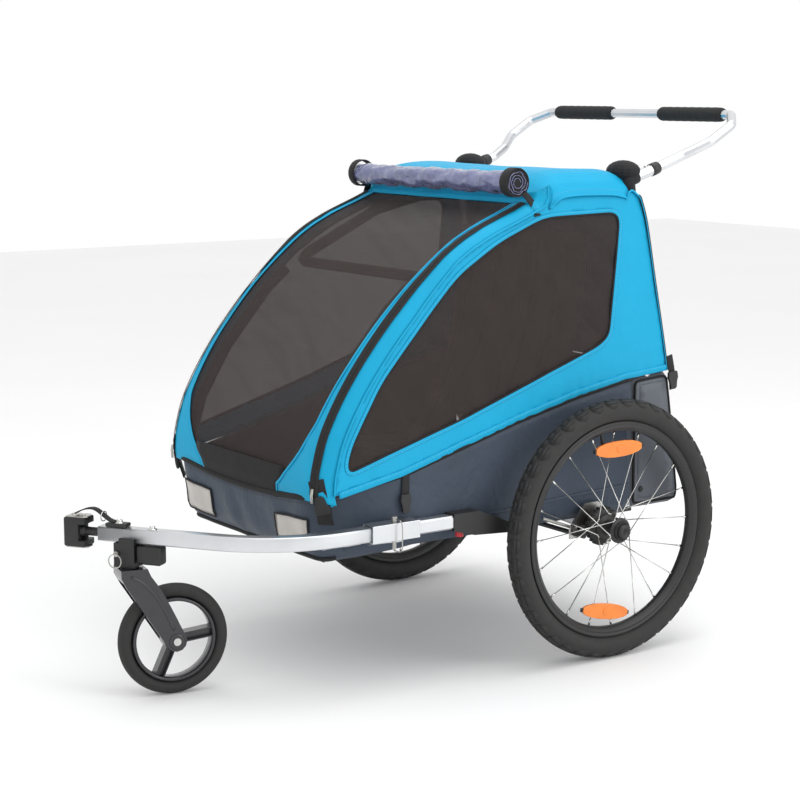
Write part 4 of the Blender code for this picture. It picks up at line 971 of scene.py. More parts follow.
# %% Bag
BAG = [(0.1010, 0.5250), (0.203, 0.5335), (0.214, 0.467), (0.238, 0.285), (0.230, 0.260), (0.1010, 0.2600)]
bag_loop = spaced(bent([Vector(p) for p in BAG], 0.022, 5, closed=True), 0.011, closed=True)
bag_out = []
for i, p in enumerate(bag_loop):
    along = (bag_loop[(i + 1) % len(bag_loop)] - bag_loop[i - 1]).normalized()
    bag_out.append(Vector((along.y, -along.x)))
bag_middle = Vector((0.165, 0.40))
if (bag_loop[0] - bag_middle).dot(bag_out[0]) < 0:
    bag_out = [-o for o in bag_out]


def bag_point(i, x, lift=0.0):
    p, out = bag_loop[i], bag_out[i]
    edge = max(0.0, (abs(x) - 0.262) / 0.0265)
    inward = 0.026 * (1 - math.sqrt(max(0.0, 1 - edge * edge)))
    belly = 0.004 * (1 - (x / 0.288) ** 2) * (1 if p.x > 0.12 else 0) + 0.0025 * noise.noise(Vector((x * 10, p.x * 18, p.y * 14)))
    at = p + out * (belly * (0.3 if edge else 1) + lift - inward)
    return place(x, at.x, at.y)


bag_xs = [0.262 * k / 14 for k in range(-14, 15)]
bag_xs = [-0.2885 + 0.0265 * (1 - math.sin(math.pi / 2 * k / 6)) for k in range(6, 0, -1)][::-1] * 0 + [-0.2880, -0.2850, -0.2790, -0.2710] + bag_xs + [0.2710, 0.2790, 0.2850, 0.2880]
bag_rows = [[bag_point(i, x) for i in range(len(bag_loop))] for x in bag_xs]
bag_body = sheet_of("cargo_bag_wrap", bag_rows, bag_cloth, 0.0014, place(0, 0.165, 0.40), around=True)
sewn(bag_body, "grey_fabric", fold=False)
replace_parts(bag_body, "cargo_bag")
for side, sign, row in (("left", 1, bag_rows[-1]), ("right", -1, bag_rows[0])):
    rim = [Vector((p.y - AXLE_Y, p.z)) for p in row]
    end = cut_cloth(
        f"cargo_bag_end_{side}", rim, [], 0.014,
        lambda y, z, sign=sign: place(sign * (0.2880 + 0.0022 * noise.noise(Vector((y * 16, z * 16, sign * 4.0)))), y, z),
        bag_cloth, 0.0014, place(0, 0.165, 0.40),
    )  # fmt: skip
    sewn(end, "grey_fabric", fold=False)
    piping = [place(sign * 0.2850, (p.y - AXLE_Y - 0.165) * 1.0 + 0.165, p.z) for p in [bag_point(i, sign * 0.2850, 0.0012) for i in range(len(bag_loop))]]
    sewn(swept(f"cargo_bag_piping_{side}", piping, disc(0.0026, 8), black_cloth, (1, 0.2, 0.1), closed=True), "webbing", fold=False)
    sewn(turned(f"bag_rivet_{side}", [(0.0001, 0.0032), (0.0045, 0.0026), (0.0062, 0.0), (0.0001, 0.0)], place(sign * 0.2880, 0.130, 0.300), sign, nylon, 16), "black_plastic", fold=False)
lid_i = min(range(len(bag_loop)), key=lambda i: (bag_loop[i] - Vector((0.2105, 0.492))).length)
lid_line = [(bag_point(lid_i, x, 0.0012), Vector((0, 1, 0.15)).normalized()) for x in [0.270 * k / 60 for k in range(-60, 61)]]
sewn(flat_on("bag_zip_tape", lid_line, 0.020, 0.0014, webbing), "webbing", fold=False)
sewn(along_seams("bag_zip_teeth", [[(p + o * 0.0006, o) for p, o in lid_line]], tooth, 0.0042, nylon), "black_plastic", fold=False)
for side, sign in (("left", 1), ("right", -1)):
    top = [bag_point(min(range(len(bag_loop)), key=lambda i, t=t: (bag_loop[i] - Vector(t)).length), sign * 0.14, 0.0018) for t in ((0.150, 0.530), (0.190, 0.533), (0.204, 0.525), (0.2085, 0.500), (0.214, 0.467), (0.221, 0.410), (0.229, 0.350))]
    outs = [Vector((0, 0, 1))] * 2 + [Vector((0, 0.7, 0.7))] + [Vector((0, 1, 0.12))] * 4
    sewn(flat_on(f"bag_strap_{side}", list(zip(top, outs)), 0.020, 0.0022, webbing), "webbing", fold=False)
    buckle(f"bag_buckle_{side}", top[5] + Vector((0, 0.0012, 0)), Vector((0, 0.12, -1)), Vector((0, 1, 0.12)), 0.026)
    side_buckle = [place(sign * 0.2895, 0.196, 0.560), place(sign * 0.2898, 0.203, 0.530), place(sign * 0.2895, 0.207, 0.492)]
    sewn(flat_on(f"belt_strap_{side}", [(p, Vector((sign, 0, 0))) for p in spaced(side_buckle, 0.008)], 0.016, 0.0020, webbing), "webbing")
    buckle(f"belt_buckle_{side}", place(sign * 0.2905, 0.204, 0.512), Vector((0, 0.1, -1)), Vector((sign, 0, 0)), 0.022, fold=True)
print("bag points", len(bag_body.data.vertices), "tub points", len(tub_wall.data.vertices))

# %% [markdown]
# ## Piping on the cover
# Black piping runs down both rear edges of the cover, and black caps of cloth sit at the roof's
# corners, where the frame comes through.

# %% Rear piping
for side, sign in (("left", 1), ("right", -1)):
    line = [skin(u, sign * 0.2872, 0.0010) for u in [12.9 + (SKIN - 12.9) * i / 60 for i in range(61)]]
    sewn(swept(f"rear_piping_{side}", line, disc(0.0030, 8), black_cloth, (sign, 0, 0)), "webbing")

# %% [markdown]
# ## The rolled rain cover
# The clear cover is rolled up on the roof's front edge: a sheet of vinyl wound three times, never
# quite tight. Wound film bends in facets and creases, so the spiral is dented by a noise that is
# drawn out around the roll. Black bands tie it at both ends.

# %% Roll
ROLL_Y, ROLL_Z = -0.175, 0.907
turns, per_turn = 3, 34
roll_rows = []
for k in range(91):
    x = -0.254 + 0.531 * k / 90
    ring = []
    for i in range(turns * per_turn + 1):
        a = 2 * math.pi * i / per_turn
        wound = i / (turns * per_turn)
        r = 0.0080 + 0.0165 * wound
        dent = 0.0042 * noise.noise(Vector((x * 26, math.cos(a) * 1.7, math.sin(a) * 1.7 + wound * 2))) + 0.0020 * noise.noise(Vector((x * 80, math.cos(a) * 3, math.sin(a) * 3)))
        r += dent * smooth((wound - 0.3) / 0.4) - 0.0012
        ring.append(place(x, ROLL_Y + r * math.cos(a), ROLL_Z + r * math.sin(a)))
    roll_rows.append(ring)
roll = sheet_of("rolled_rain_cover", roll_rows, film, 0.0007, None)
for face in roll.data.polygons:
    face.use_smooth = True
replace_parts(sewn(roll, "clear_film"), "rain_cover_roll")
for side, x, wide in (("left", 0.266, 0.022), ("right", -0.243, 0.018)):
    ring = [place(x, ROLL_Y + 0.0258 * math.cos(a), ROLL_Z + 0.0258 * math.sin(a)) for a in [2 * math.pi * i / 28 for i in range(28)]]
    outs = [(p - place(x, ROLL_Y, ROLL_Z)).normalized() for p in ring]
    sewn(flat_on(f"roll_band_{side}", list(zip(ring, outs)), wide, 0.0030, webbing, closed=True), "webbing")
    sign = 1 if x > 0 else -1
    hang = [place(x, ROLL_Y + 0.020, ROLL_Z - 0.018), place(sign * 0.274, ROLL_Y + 0.034, 0.872), place(sign * 0.287, ROLL_Y + 0.040, 0.845)]
    sewn(flat_on(f"roll_strap_{side}", [(p, Vector((sign, 0, 0.6))) for p in spaced(bent(hang, 0.02, 4), 0.006)], 0.016, 0.0020, webbing), "webbing")
end_line = [place(0.268, ROLL_Y, ROLL_Z), place(0.2755, ROLL_Y, ROLL_Z)]
sewn(swept("roll_end_fold", end_line, disc(0.0235, 28), black_cloth, smooth=False), "webbing")
print("roll points", len(roll.data.vertices))

# %% [markdown]
# ## The padded seat
# Inside hangs a sling seat: a back and a bench, padded with foam between two cloths. Foam pushes
# its cover out until the seams hold it, so a simulation is the natural way to shape it: a thin
# closed pad is blown up by a little pressure, and how far any point may move is capped. Sewn
# channels come after, as grooves, because blowing up would smooth them away.

# %% Seat pads
def blown_up(piece, cap):
    """Blows a closed pad up with cloth under pressure, and lets no point move further than cap."""
    skinned = piece.modifiers.new("even", "REMESH")
    skinned.mode, skinned.voxel_size = "VOXEL", 0.0075
    plain(piece)
    start = [v.co.copy() for v in piece.data.vertices]
    cloth = piece.modifiers.new("cloth", "CLOTH")
    cloth.settings.use_pressure, cloth.settings.uniform_pressure_force = True, 4.0
    cloth.settings.effector_weights.gravity = 0
    cloth.settings.quality = 4
    for moment in range(1, 16):
        scene.frame_set(moment)
    plain(piece)
    for v, was in zip(piece.data.vertices, start):
        move = v.co - was
        v.co = was + move * min(1.0, cap / max(move.length, 1e-9))
    scene.frame_set(1)
    return piece


def pad(name, line, half_width, thickness, columns, slot_name="seat_fabric"):
    """A pad that follows a line down the seat, with sewn channels across it."""
    side_line = spaced(bent([Vector((0, y, z)) for y, z in line], 0.05, 6), 0.012)
    rows = []
    for i, p in enumerate(side_line):
        along = (side_line[min(i + 1, len(side_line) - 1)] - side_line[max(i - 1, 0)]).normalized()
        out = Vector((0, -along.z, along.y))
        edge = math.sin(math.pi * min(1.0, (i + 0.35) / 3, (len(side_line) - 0.65 - i) / 3) / 2)
        front = [place(x, p.y, p.z) + out * (thickness / 2 * edge * min(1, (half_width + 0.006 - abs(x)) / 0.03)) for x in [half_width * k / 14 for k in range(-14, 15)]]
        back = [place(x, p.y, p.z) - out * (thickness / 2 * edge * min(1, (half_width + 0.006 - abs(x)) / 0.03)) for x in [half_width * k / 14 for k in range(14, -15, -1)]]
        rows.append(front + back)
    wide = len(rows[0])
    faces = [(i * wide + j, i * wide + (j + 1) % wide, (i + 1) * wide + (j + 1) % wide, (i + 1) * wide + j) for i in range(len(rows) - 1) for j in range(wide)]
    faces += [tuple(range(wide)), tuple(range((len(rows) - 1) * wide, len(rows) * wide))]
    piece = face_out(as_piece(name, [p for row in rows for p in row], faces, seat_cloth))
    blown_up(piece, 0.004)
    for v in piece.data.vertices:
        groove = sum(math.exp(-(((v.co.x - c) / 0.005) ** 2)) for c in columns)
        nearest = min(side_line, key=lambda q: (Vector((q.y + AXLE_Y, q.z)) - Vector((v.co.y, v.co.z))).length)
        to_line = Vector((0, nearest.y + AXLE_Y - v.co.y, nearest.z - v.co.z))
        v.co += to_line * (0.35 * min(1, groove))
    for face in piece.data.polygons:
        face.use_smooth = True
    piece.data.materials.clear()
    piece.data.materials.append(seat_cloth)
    return sewn(piece, slot_name)


back_pad = pad("seat_back_pad", [(0.060, 0.806), (0.040, 0.660), (0.012, 0.520), (-0.018, 0.404)], 0.210, 0.018, (-0.14, -0.07, 0.0, 0.07, 0.14))
bench_pad = pad("seat_bench_pad", [(-0.044, 0.372), (-0.170, 0.352), (-0.296, 0.375)], 0.220, 0.018, (-0.11, 0.0, 0.11))
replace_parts(back_pad, "seat_back")
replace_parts(bench_pad, "seat_bench")

# %% [markdown]
# ## Harness
# Two children sit side by side, each with shoulder straps that meet at a buckle and a strap up
# between the legs.

# %% Straps and buckles of the harness
for number, middle in enumerate((-0.105, 0.105)):
    for k, aside in enumerate((-0.045, 0.045)):
        line = [place(middle + aside, 0.040, 0.770), place(middle + aside, 0.012, 0.640), place(middle + aside * 0.7, -0.030, 0.520), place(middle + aside * 0.2, -0.085, 0.440)]
        sewn(flat_on(f"shoulder_strap_{number}_{k}", [(p, Vector((0, -1, 0.25))) for p in spaced(bent(line, 0.08, 6), 0.012)], 0.024, 0.0022, webbing), "webbing")
    crotch = [place(middle, -0.150, 0.370), place(middle, -0.125, 0.400), place(middle, -0.095, 0.432)]
    sewn(flat_on(f"crotch_strap_{number}", [(p, Vector((0, -1, 0.5))) for p in spaced(crotch, 0.01)], 0.026, 0.0022, webbing), "webbing")
    buckle(f"harness_buckle_{number}", place(middle, -0.094, 0.440), Vector((0, -0.5, -1)), Vector((0, -1, 0.5)), 0.046, fold=True)
print("seat points", len(back_pad.data.vertices), len(bench_pad.data.vertices))

# %% [markdown]
# ## Finishes for the frame's own pieces
# The tubes, brackets and pins already have their true shape, so they keep it and only get their
# finish. The hoop and the front arch are sleeved in black, since their cloth pockets wrap them.

# %% Finishes on the frame
for names, material in (
    (("side_rail_left", "side_rail_right", "front_cross_tube", "axle_tube", "rear_upright_left", "rear_upright_right", "upright_cross_tube", "handlebar", "tow_rail"), aluminium),
    (("front_arch", "roof_hoop"), pocket_cloth),
    (("corner_cap_left", "corner_cap_right"), black_cloth),
    (("arm_pin", "arm_pin_wire", "caster_pin", "caster_pin_ring"), steel),
    (("caster_bolt",), chrome),
    (("release_button",), red_abs),
    (("hitch_ball",), nylon),
):
    for name in names:
        data = frame["nodes"][name].data
        data.materials.clear()
        data.materials.append(material)


def eased(cad_node, width, material, body, seg=2):
    """A copy of a hard node with its edges rounded, as moulding and deburring leave them."""
    data = frame["nodes"][cad_node].data.copy()
    piece = bpy.data.objects.new(cad_node + "_eased", data)
    scene.collection.objects.link(piece)
    shape = bmesh.new()
    shape.from_mesh(data)
    bmesh.ops.remove_doubles(shape, verts=shape.verts, dist=0.00001)
    bmesh.ops.dissolve_limit(shape, angle_limit=0.02, verts=shape.verts, edges=shape.edges)
    bmesh.ops.recalc_face_normals(shape, faces=shape.faces)
    for face in shape.faces:
        face.smooth = True
        face.material_index = 0
    shape.to_mesh(data)
    shape.free()
    data.materials.clear()
    data.materials.append(material)
    for layer in ("custom_normal", "sharp_edge"):
        if data.attributes.get(layer):
            data.attributes.remove(data.attributes[layer])
    soften(piece, width, seg)
    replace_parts(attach(piece, body), cad_node)
    return piece


eased("rail_bracket", 0.0016, nylon, "base")
eased("arm_sleeve", 0.0012, aluminium, "base")
eased("caster_bracket", 0.0016, nylon, "base")
eased("caster_lever", 0.0024, nylon, "caster_lever")
eased("strap_anchor", 0.0010, nylon, "base")
eased("hitch_clamp", 0.0018, nylon, "hitch_clamp")
eased("fork", 0.0022, gloss_nylon, "caster_fork")
eased("brake_pedal", 0.0006, nylon, "brake_pedal", 1)
for side in ("left", "right"):
    eased(f"axle_bracket_{side}", 0.0005, steel, "base", 1)

# %% [markdown]
# ## Copies round an axle
# Spokes, tread lugs and hub teeth repeat round an axle. One Geometry Nodes tree does them all: a
# circle of points, one copy of a piece on each, turned to face out. Count, radius and the turn of
# the first copy are its inputs.

# %% The axle tree
axle_tree, given = new_tree(
    "round an axle", [("Geometry", "Geometry"), ("Piece", "Object"), ("Count", "Int"), ("Radius", "Float"), ("First", "Float"), ("Finish", "Material")]
)
circle = node(axle_tree, "GeometryNodeMeshCircle", {"Vertices": given["Count"], "Radius": given["Radius"]})
spot = node(axle_tree, "GeometryNodeInputPosition")
facing = node(axle_tree, "FunctionNodeAlignRotationToVector", {"Vector": spot}, axis="X", pivot_axis="Z")
small = node(axle_tree, "GeometryNodeObjectInfo", {"Object": given["Piece"]})
copies = node(axle_tree, "GeometryNodeInstanceOnPoints", {"Points": circle, "Instance": small.outputs["Geometry"], "Rotation": facing})
twist = node(axle_tree, "ShaderNodeCombineXYZ", {"Z": given["First"]})
set_round = node(axle_tree, "GeometryNodeTransform", {"Geometry": copies, "Rotation": twist})
real = node(axle_tree, "GeometryNodeRealizeInstances", {"Geometry": set_round})
coated = node(axle_tree, "GeometryNodeSetMaterial", {"Geometry": real, "Material": given["Finish"]})
node(axle_tree, "NodeGroupOutput", {"Geometry": coated})


def on_axle(centre, sign):
    """The turn that lays a piece made about Z along X, with its X to the rear and its Z outboard."""
    turn = Matrix(((0, 0, sign), (1, 0, 0), (0, sign, 0))).to_4x4()
    return Matrix.Translation(centre) @ turn


def round_axle(name, piece, count, radius, first, material, place_by):
    """Copies of a piece round an axle, as one mesh in its place."""
    made = grown(name, bpy.data.meshes.new(name), axle_tree, {"Piece": piece, "Count": count, "Radius": radius, "First": first, "Finish": material})
    made.data.transform(place_by)
    return made


def joined(name, pieces):
    """Several meshes of one body as one piece."""
    shape = bmesh.new()
    for piece in pieces:
        shape.from_mesh(piece.data)
    whole = bpy.data.objects.new(name, bpy.data.meshes.new(name))
    scene.collection.objects.link(whole)
    whole.data.materials.append(pieces[0].data.materials[0])
    shape.to_mesh(whole.data)
    shape.free()
    for piece in pieces:
        bpy.data.objects.remove(piece)
    return whole


# %% [markdown]
# ## Tyres
# Each wheel is a 20 inch bicycle wheel. Its tyre is a round carcass of rubber with a low tread: a
# row of blocks down the middle and scallops that run down both shoulders. The carcass is turned;
# the tread is copies of one block and one scallop.

# %% Tread pieces
TYRE_R, TYRE_MIDDLE = 0.0208, 0.228


def lug(rows, lift, sink=0.0008):
    """A tread block on the tyre's round: rows of (angle in degrees, half width), raised by lift."""
    def ring(r):
        return [(r * math.cos(math.radians(a)), w, r * math.sin(math.radians(a))) for a, w in rows] + [
            (r * math.cos(math.radians(a)), -w, r * math.sin(math.radians(a))) for a, w in rows[::-1]
        ]

    low, high = ring(TYRE_R - sink), ring(TYRE_R + lift)
    n = len(low)
    faces = [(i, (i + 1) % n, n + (i + 1) % n, n + i) for i in range(n)]
    many = n // 2
    faces += [(n + i, n + i + 1, n + n - 2 - i, n + n - 1 - i) for i in range(many - 1)]
    faces += [(i + 1, i, n - 1 - i, n - 2 - i) for i in range(many - 1)]
    return helper(low + high, faces)


tread = [
    (lug([(-9, 0.0072), (0, 0.0072), (9, 0.0072)], 0.0011), 84, 0.0),
    (lug([(15, 0.0125), (26, 0.0140), (36, 0.0150)], 0.0010), 42, 0.0),
    (lug([(-36, 0.0150), (-26, 0.0140), (-15, 0.0125)], 0.0010), 42, math.pi / 42),
    (lug([(41, 0.0145), (54, 0.0098), (66, 0.0030)], 0.0009), 42, 0.0),
    (lug([(-66, 0.0030), (-54, 0.0098), (-41, 0.0145)], 0.0009), 42, math.pi / 42),
]
carcass = [(TYRE_MIDDLE + TYRE_R * math.cos(math.radians(a)), TYRE_R * math.sin(math.radians(a))) for a in range(-158, 159, 12)]
carcass += [(0.2050, 0.0092), (0.2050, -0.0092)]

# %% [markdown]
# ## Rims, spokes and hubs
# The rim is a black box section with two hooks for the tyre. Twenty spokes of 2 mm wire cross from
# the hub's two flanges to the rim, half leaning forward and half back, each screwed into a nipple.
# A spoke is laced in one of four ways, so four pieces are made and each is copied five times.

# %% Spoke pieces
FLANGE = {1: 0.0190, -1: -0.0200}


def spoke_piece(flange, lean):
    """One spoke from its rim end, with its nipple and its bent head: x out, y round, z along the axle."""
    rim_end = Vector((-0.0012, 0, 0.002 * flange))
    hub_end = Vector((0.0254 * math.cos(lean) - 0.1895, 0.0254 * math.sin(lean), FLANGE[flange]))
    along = (rim_end - hub_end).normalized()
    aside = along.cross(Vector((0, 0, 1))).normalized()
    rise = aside.cross(along)
    nip = rim_end - along * 0.013
    rings = [(hub_end - along * 0.0022, 0.0004), (hub_end - along * 0.0018, 0.0021), (hub_end + along * 0.0010, 0.0021), (hub_end + along * 0.0016, 0.0010), (nip, 0.0010), (nip, 0.0017), (rim_end, 0.0022)]
    points = [tuple(at + (aside * math.cos(k * math.pi / 3) + rise * math.sin(k * math.pi / 3)) * r) for at, r in rings for k in range(6)]
    faces = [(i * 6 + j, i * 6 + (j + 1) % 6, (i + 1) * 6 + (j + 1) % 6, (i + 1) * 6 + j) for i in range(len(rings) - 1) for j in range(6)]
    faces += [tuple(range(6)), tuple(range(len(rings) * 6 - 6, len(rings) * 6))]
    return helper(points, faces)


RIM = [
    (0.2085, 0.0125), (0.2085, 0.0106), (0.2050, 0.0098), (0.2046, 0.0), (0.2050, -0.0098), (0.2085, -0.0106), (0.2085, -0.0125),
    (0.2035, -0.0125), (0.2030, -0.0120), (0.1990, -0.0120), (0.1985, -0.0125), (0.1965, -0.0118), (0.1925, -0.0075), (0.1897, -0.0058), (0.1893, 0.0),
    (0.1897, 0.0058), (0.1925, 0.0075), (0.1965, 0.0118), (0.1985, 0.0125), (0.1990, 0.0120), (0.2030, 0.0120), (0.2035, 0.0125),
]  # fmt: skip
HUB = [
    (0.0152, 0.0120), (0.0152, 0.0296), (0.0158, 0.0302), (0.0170, 0.0302), (0.0176, 0.0294), (0.0178, 0.0225), (0.0190, 0.0214), (0.0238, 0.0211), (0.0245, 0.0203),
    (0.0245, 0.0178), (0.0238, 0.0170), (0.0160, 0.0164), (0.0140, 0.0140), (0.0136, 0.0), (0.0140, -0.0160), (0.0160, -0.0178), (0.0238, -0.0182), (0.0245, -0.0190),
    (0.0245, -0.0214), (0.0238, -0.0222), (0.0185, -0.0235), (0.0185, -0.0272), (0.0340, -0.0282), (0.0352, -0.0290), (0.0352, -0.0372), (0.0340, -0.0380), (0.0200, -0.0384),
    (0.0180, -0.0392), (0.0178, -0.0436), (0.0150, -0.0440), (0.0066, -0.0440), (0.0066, 0.0040),
]  # fmt: skip
CAP = [(0.0001, 0.0352), (0.0062, 0.0351), (0.0070, 0.0368), (0.0112, 0.0365), (0.0136, 0.0346), (0.0148, 0.0312), (0.0148, 0.0180), (0.0001, 0.0180)]
cog = helper(
    [(-0.003, -0.0021, -0.005), (0.0032, -0.0013, -0.0046), (0.0032, 0.0013, -0.0046), (-0.003, 0.0021, -0.005), (-0.003, -0.0021, 0.005), (0.0032, -0.0013, 0.0046), (0.0032, 0.0013, 0.0046), (-0.003, 0.0021, 0.005)],
    [(0, 1, 2, 3), (4, 7, 6, 5), (0, 4, 5, 1), (1, 5, 6, 2), (2, 6, 7, 3), (3, 7, 4, 0)],
)  # fmt: skip
rib = helper(
    [(-0.003, -0.0008, -0.004), (0.0006, -0.0006, -0.004), (0.0006, 0.0006, -0.004), (-0.003, 0.0008, -0.004), (-0.003, -0.0008, 0.004), (0.0006, -0.0006, 0.004), (0.0006, 0.0006, 0.004), (-0.003, 0.0008, 0.004)],
    [(0, 1, 2, 3), (4, 7, 6, 5), (0, 4, 5, 1), (1, 5, 6, 2), (2, 6, 7, 3), (3, 7, 4, 0)],
)  # fmt: skip

# %% Both wheels
for side, sign in (("left", 1), ("right", -1)):
    hub_at = place(sign * 0.3575, 0, 0.250)
    wheel_body = f"wheel_{side}"
    by = on_axle(hub_at, sign)
    tyre = turned(f"tyre_carcass_{side}", carcass, hub_at, sign, rubber, 120)
    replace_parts(sewn(tyre, "tyre", wheel_body, False), f"tyre_{side}")
    blocks = [round_axle(f"tread_{side}_{k}", piece, count, TYRE_MIDDLE, first, rubber, by) for k, (piece, count, first) in enumerate(tread)]
    treads = joined(f"tyre_tread_{side}", blocks)
    sewn(treads, "tyre", wheel_body, False)
    rim = turned(f"rim_box_{side}", RIM, hub_at, sign, nylon, 120)
    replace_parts(sewn(rim, "black_plastic", wheel_body, False), f"rim_{side}")
    laced = []
    for kind in range(4):
        flange, lean = (1 if kind % 2 == 0 else -1), math.radians(49) * (1 if kind < 2 else -1)
        laced.append(round_axle(f"laced_{side}_{kind}", spoke_piece(flange, lean * sign), 5, 0.1895, 2 * math.pi * kind / 20 * sign, chrome, by))
    laced = joined(f"laced_spokes_{side}", laced)
    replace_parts(sewn(laced, "steel", wheel_body, False), f"spokes_{side}")
    hub = turned(f"hub_shell_{side}", HUB, hub_at, sign, nylon, 48)
    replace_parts(sewn(hub, "black_plastic", wheel_body, False), f"hub_{side}")
    cogs = round_axle(f"brake_teeth_{side}", cog, 24, 0.0350, 0.0, nylon, by @ Matrix.Translation((0, 0, -0.033)))
    sewn(cogs, "black_plastic", wheel_body, False)
    ribs = round_axle(f"hub_ribs_{side}", rib, 18, 0.0178, 0.0, nylon, by @ Matrix.Translation((0, 0, 0.0262)))
    sewn(ribs, "black_plastic", wheel_body, False)
    cap = turned(f"hub_cap_{side}", CAP, hub_at, sign, nylon, 36)
    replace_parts(sewn(cap, "black_plastic", f"hub_button_{side}", False), f"hub_button_{side}")
    valve = turned(f"valve_{side}", [(0.0001, 0.0), (0.0030, 0.0), (0.0034, -0.004), (0.0034, -0.018), (0.0040, -0.020), (0.0040, -0.036), (0.0028, -0.040), (0.0001, -0.040)], (0, 0, 0), 1, nylon, 12)
    spin = math.radians(100)
    aim = Matrix(((0, 1, 0), (math.cos(spin), 0, -math.sin(spin)), (math.sin(spin), 0, math.cos(spin)))).to_4x4()
    valve.data.transform(Matrix.Translation(hub_at) @ aim @ Matrix.Translation((0.1935, 0, 0)))
    sewn(valve, "black_plastic", wheel_body, False)
    for number, turn in enumerate((0.5, 169.5)):
        spin = math.radians(turn)
        def on_spokes(a, b, h, sign=sign, hub_at=hub_at, spin=spin):
            y, z = a, b + 0.157
            return hub_at + Vector((sign * h, y * math.cos(spin) - z * math.sin(spin), y * math.sin(spin) + z * math.cos(spin)))
        half = [(-0.0560, -0.0050), (-0.0480, -0.0095), (-0.0320, -0.0135), (-0.0120, -0.0153)]
        half += [(-x, z) for x, z in half[::-1]]
        lens = slab(f"reflector_lens_{side}_{number + 1}", half + [(-x, -z) for x, z in half], 0.0105, 0.0162, on_spokes, amber, 0.0012)
        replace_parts(sewn(lens, "amber_plastic", wheel_body, False), f"reflector_{side}_{number + 1}")
        round_lens = slab(f"reflector_centre_{side}_{number + 1}", disc(0.0072, 20), 0.0150, 0.0172, on_spokes, amber, 0.0008)
        sewn(round_lens, "amber_plastic", wheel_body, False)
        for k, shift in enumerate((-0.0565, 0.0565)):
            tab = [(shift - 0.0035, -0.0040), (shift + 0.0035, -0.0040), (shift + 0.0035, 0.0040), (shift - 0.0035, 0.0040)]
            sewn(slab(f"reflector_clip_{side}_{number + 1}_{k}", tab, 0.0100, 0.0150, on_spokes, nylon, 0.0010), "black_plastic", wheel_body, False)
print("tread faces", len(treads.data.polygons), "spoke faces", len(laced.data.polygons))

# %% [markdown]
# ## Grips and handlebar joints
# The two grips are foam sleeves pushed onto the bar. Their ends are rolled, and foam is never quite
# even along its length. Where the bar enters its socket there is a plastic ring and a spring button.

# %% Grips, rings and buttons
for side, sign in (("left", 1), ("right", -1)):
    profile = []
    for k in range(41):
        x = 0.074 + 0.184 * k / 40
        end = min(k, 40 - k) / 2.2
        profile.append((0.0144 - 0.0030 * max(0.0, 1 - end) ** 2 + 0.00018 * math.sin(k * 1.3), x))
    profile += [(0.0098, 0.258), (0.0098, 0.074)]
    grip = turned(f"foam_grip_{side}", profile, place(0, 0.356, 1.026), sign, foam, 36)
    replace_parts(sewn(grip, "foam", "handlebar", False), f"grip_{side}")
    foot, top = place(sign * 0.270, 0.098, 0.904), place(sign * 0.270, 0.170, 0.926)
    along = (top - foot).normalized()
    ring = [top + along * t for t in (-0.016, -0.0155, -0.004, 0.002, 0.0045)]
    sizes = (0.0114, 0.0124, 0.0124, 0.0118, 0.0101)
    collar = as_piece(
        f"socket_ring_{side}",
        [p + (along.cross(Vector((1, 0, 0))) * math.sin(a) + Vector((1, 0, 0)) * math.cos(a)) * r for p, r in zip(ring, sizes) for a in [math.pi * k / 14 for k in range(28)]],
        [(i * 28 + j, i * 28 + (j + 1) % 28, (i + 1) * 28 + (j + 1) % 28, (i + 1) * 28 + j) for i in range(4) for j in range(28)] + [tuple(range(28)), tuple(range(112, 140))],
        nylon,
    )
    sewn(face_out(collar), "black_plastic", "uprights", False)
    outward = along.cross(Vector((1, 0, 0))).normalized()
    spot = top - along * 0.026 + outward * (0.0105 if outward.z > 0 else -0.0105)
    knob = swept(f"spring_button_{side}", [spot + Vector((0, 0, 0.0022)) * t for t in (-1.0, 0.4, 1.0)], disc(0.0036, 12), chrome, (1, 0, 0))
    sewn(knob, "steel", "uprights", False)
    boot = bent([place(sign * 0.270, 0.104, 0.862), place(sign * 0.270, 0.1005, 0.884), foot, place(sign * 0.270, 0.118, 0.9101)], 0.016, 6)
    sewn(swept(f"corner_boot_{side}", boot, disc(0.0132, 20), black_cloth, (1, 0, 0)), "webbing", "uprights", False)

# %% [markdown]
# ## The tow arm
# The arm is square aluminium tube, bent once, with its corners drawn to a 3 mm radius. Its flat
# faces catch the light in long even stripes, so the section is swept with its true round corners.

# %% Arm
ARM_TIP, ARM_ALONG = Vector((0.0222, -0.907)), Vector((0.8146, 0.5800)).normalized()


def arm_at(reach, aside=0.0, z=0.299):
    flat = ARM_TIP + ARM_ALONG * reach + Vector((-ARM_ALONG.y, ARM_ALONG.x)) * aside
    return place(flat.x, flat.y, z)


def tube_section(half, radius, steps=4):
    points = []
    for k, (sx, sy) in enumerate(((1, 1), (-1, 1), (-1, -1), (1, -1))):
        for i in range(steps + 1):
            a = math.pi / 2 * (k + i / steps)
            points.append((sx * (half - radius) + radius * math.cos(a), sy * (half - radius) + radius * math.sin(a)))
    return points


knee = ARM_TIP + ARM_ALONG * ((0.306 - ARM_TIP.x) / ARM_ALONG.x)
arm_line = bent([place(*ARM_TIP, 0.299), place(*knee, 0.299), place(0.306, -0.450, 0.299)], 0.130, 20)
arm = swept("tow_arm_tube", arm_line, tube_section(0.013, 0.0032), aluminium)
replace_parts(sewn(arm, "aluminium", "base", False), "tow_arm")


def along_arm(reach, z):
    def to_space(a, b, h):
        return arm_at(reach + a, b, z + h)
    return to_space


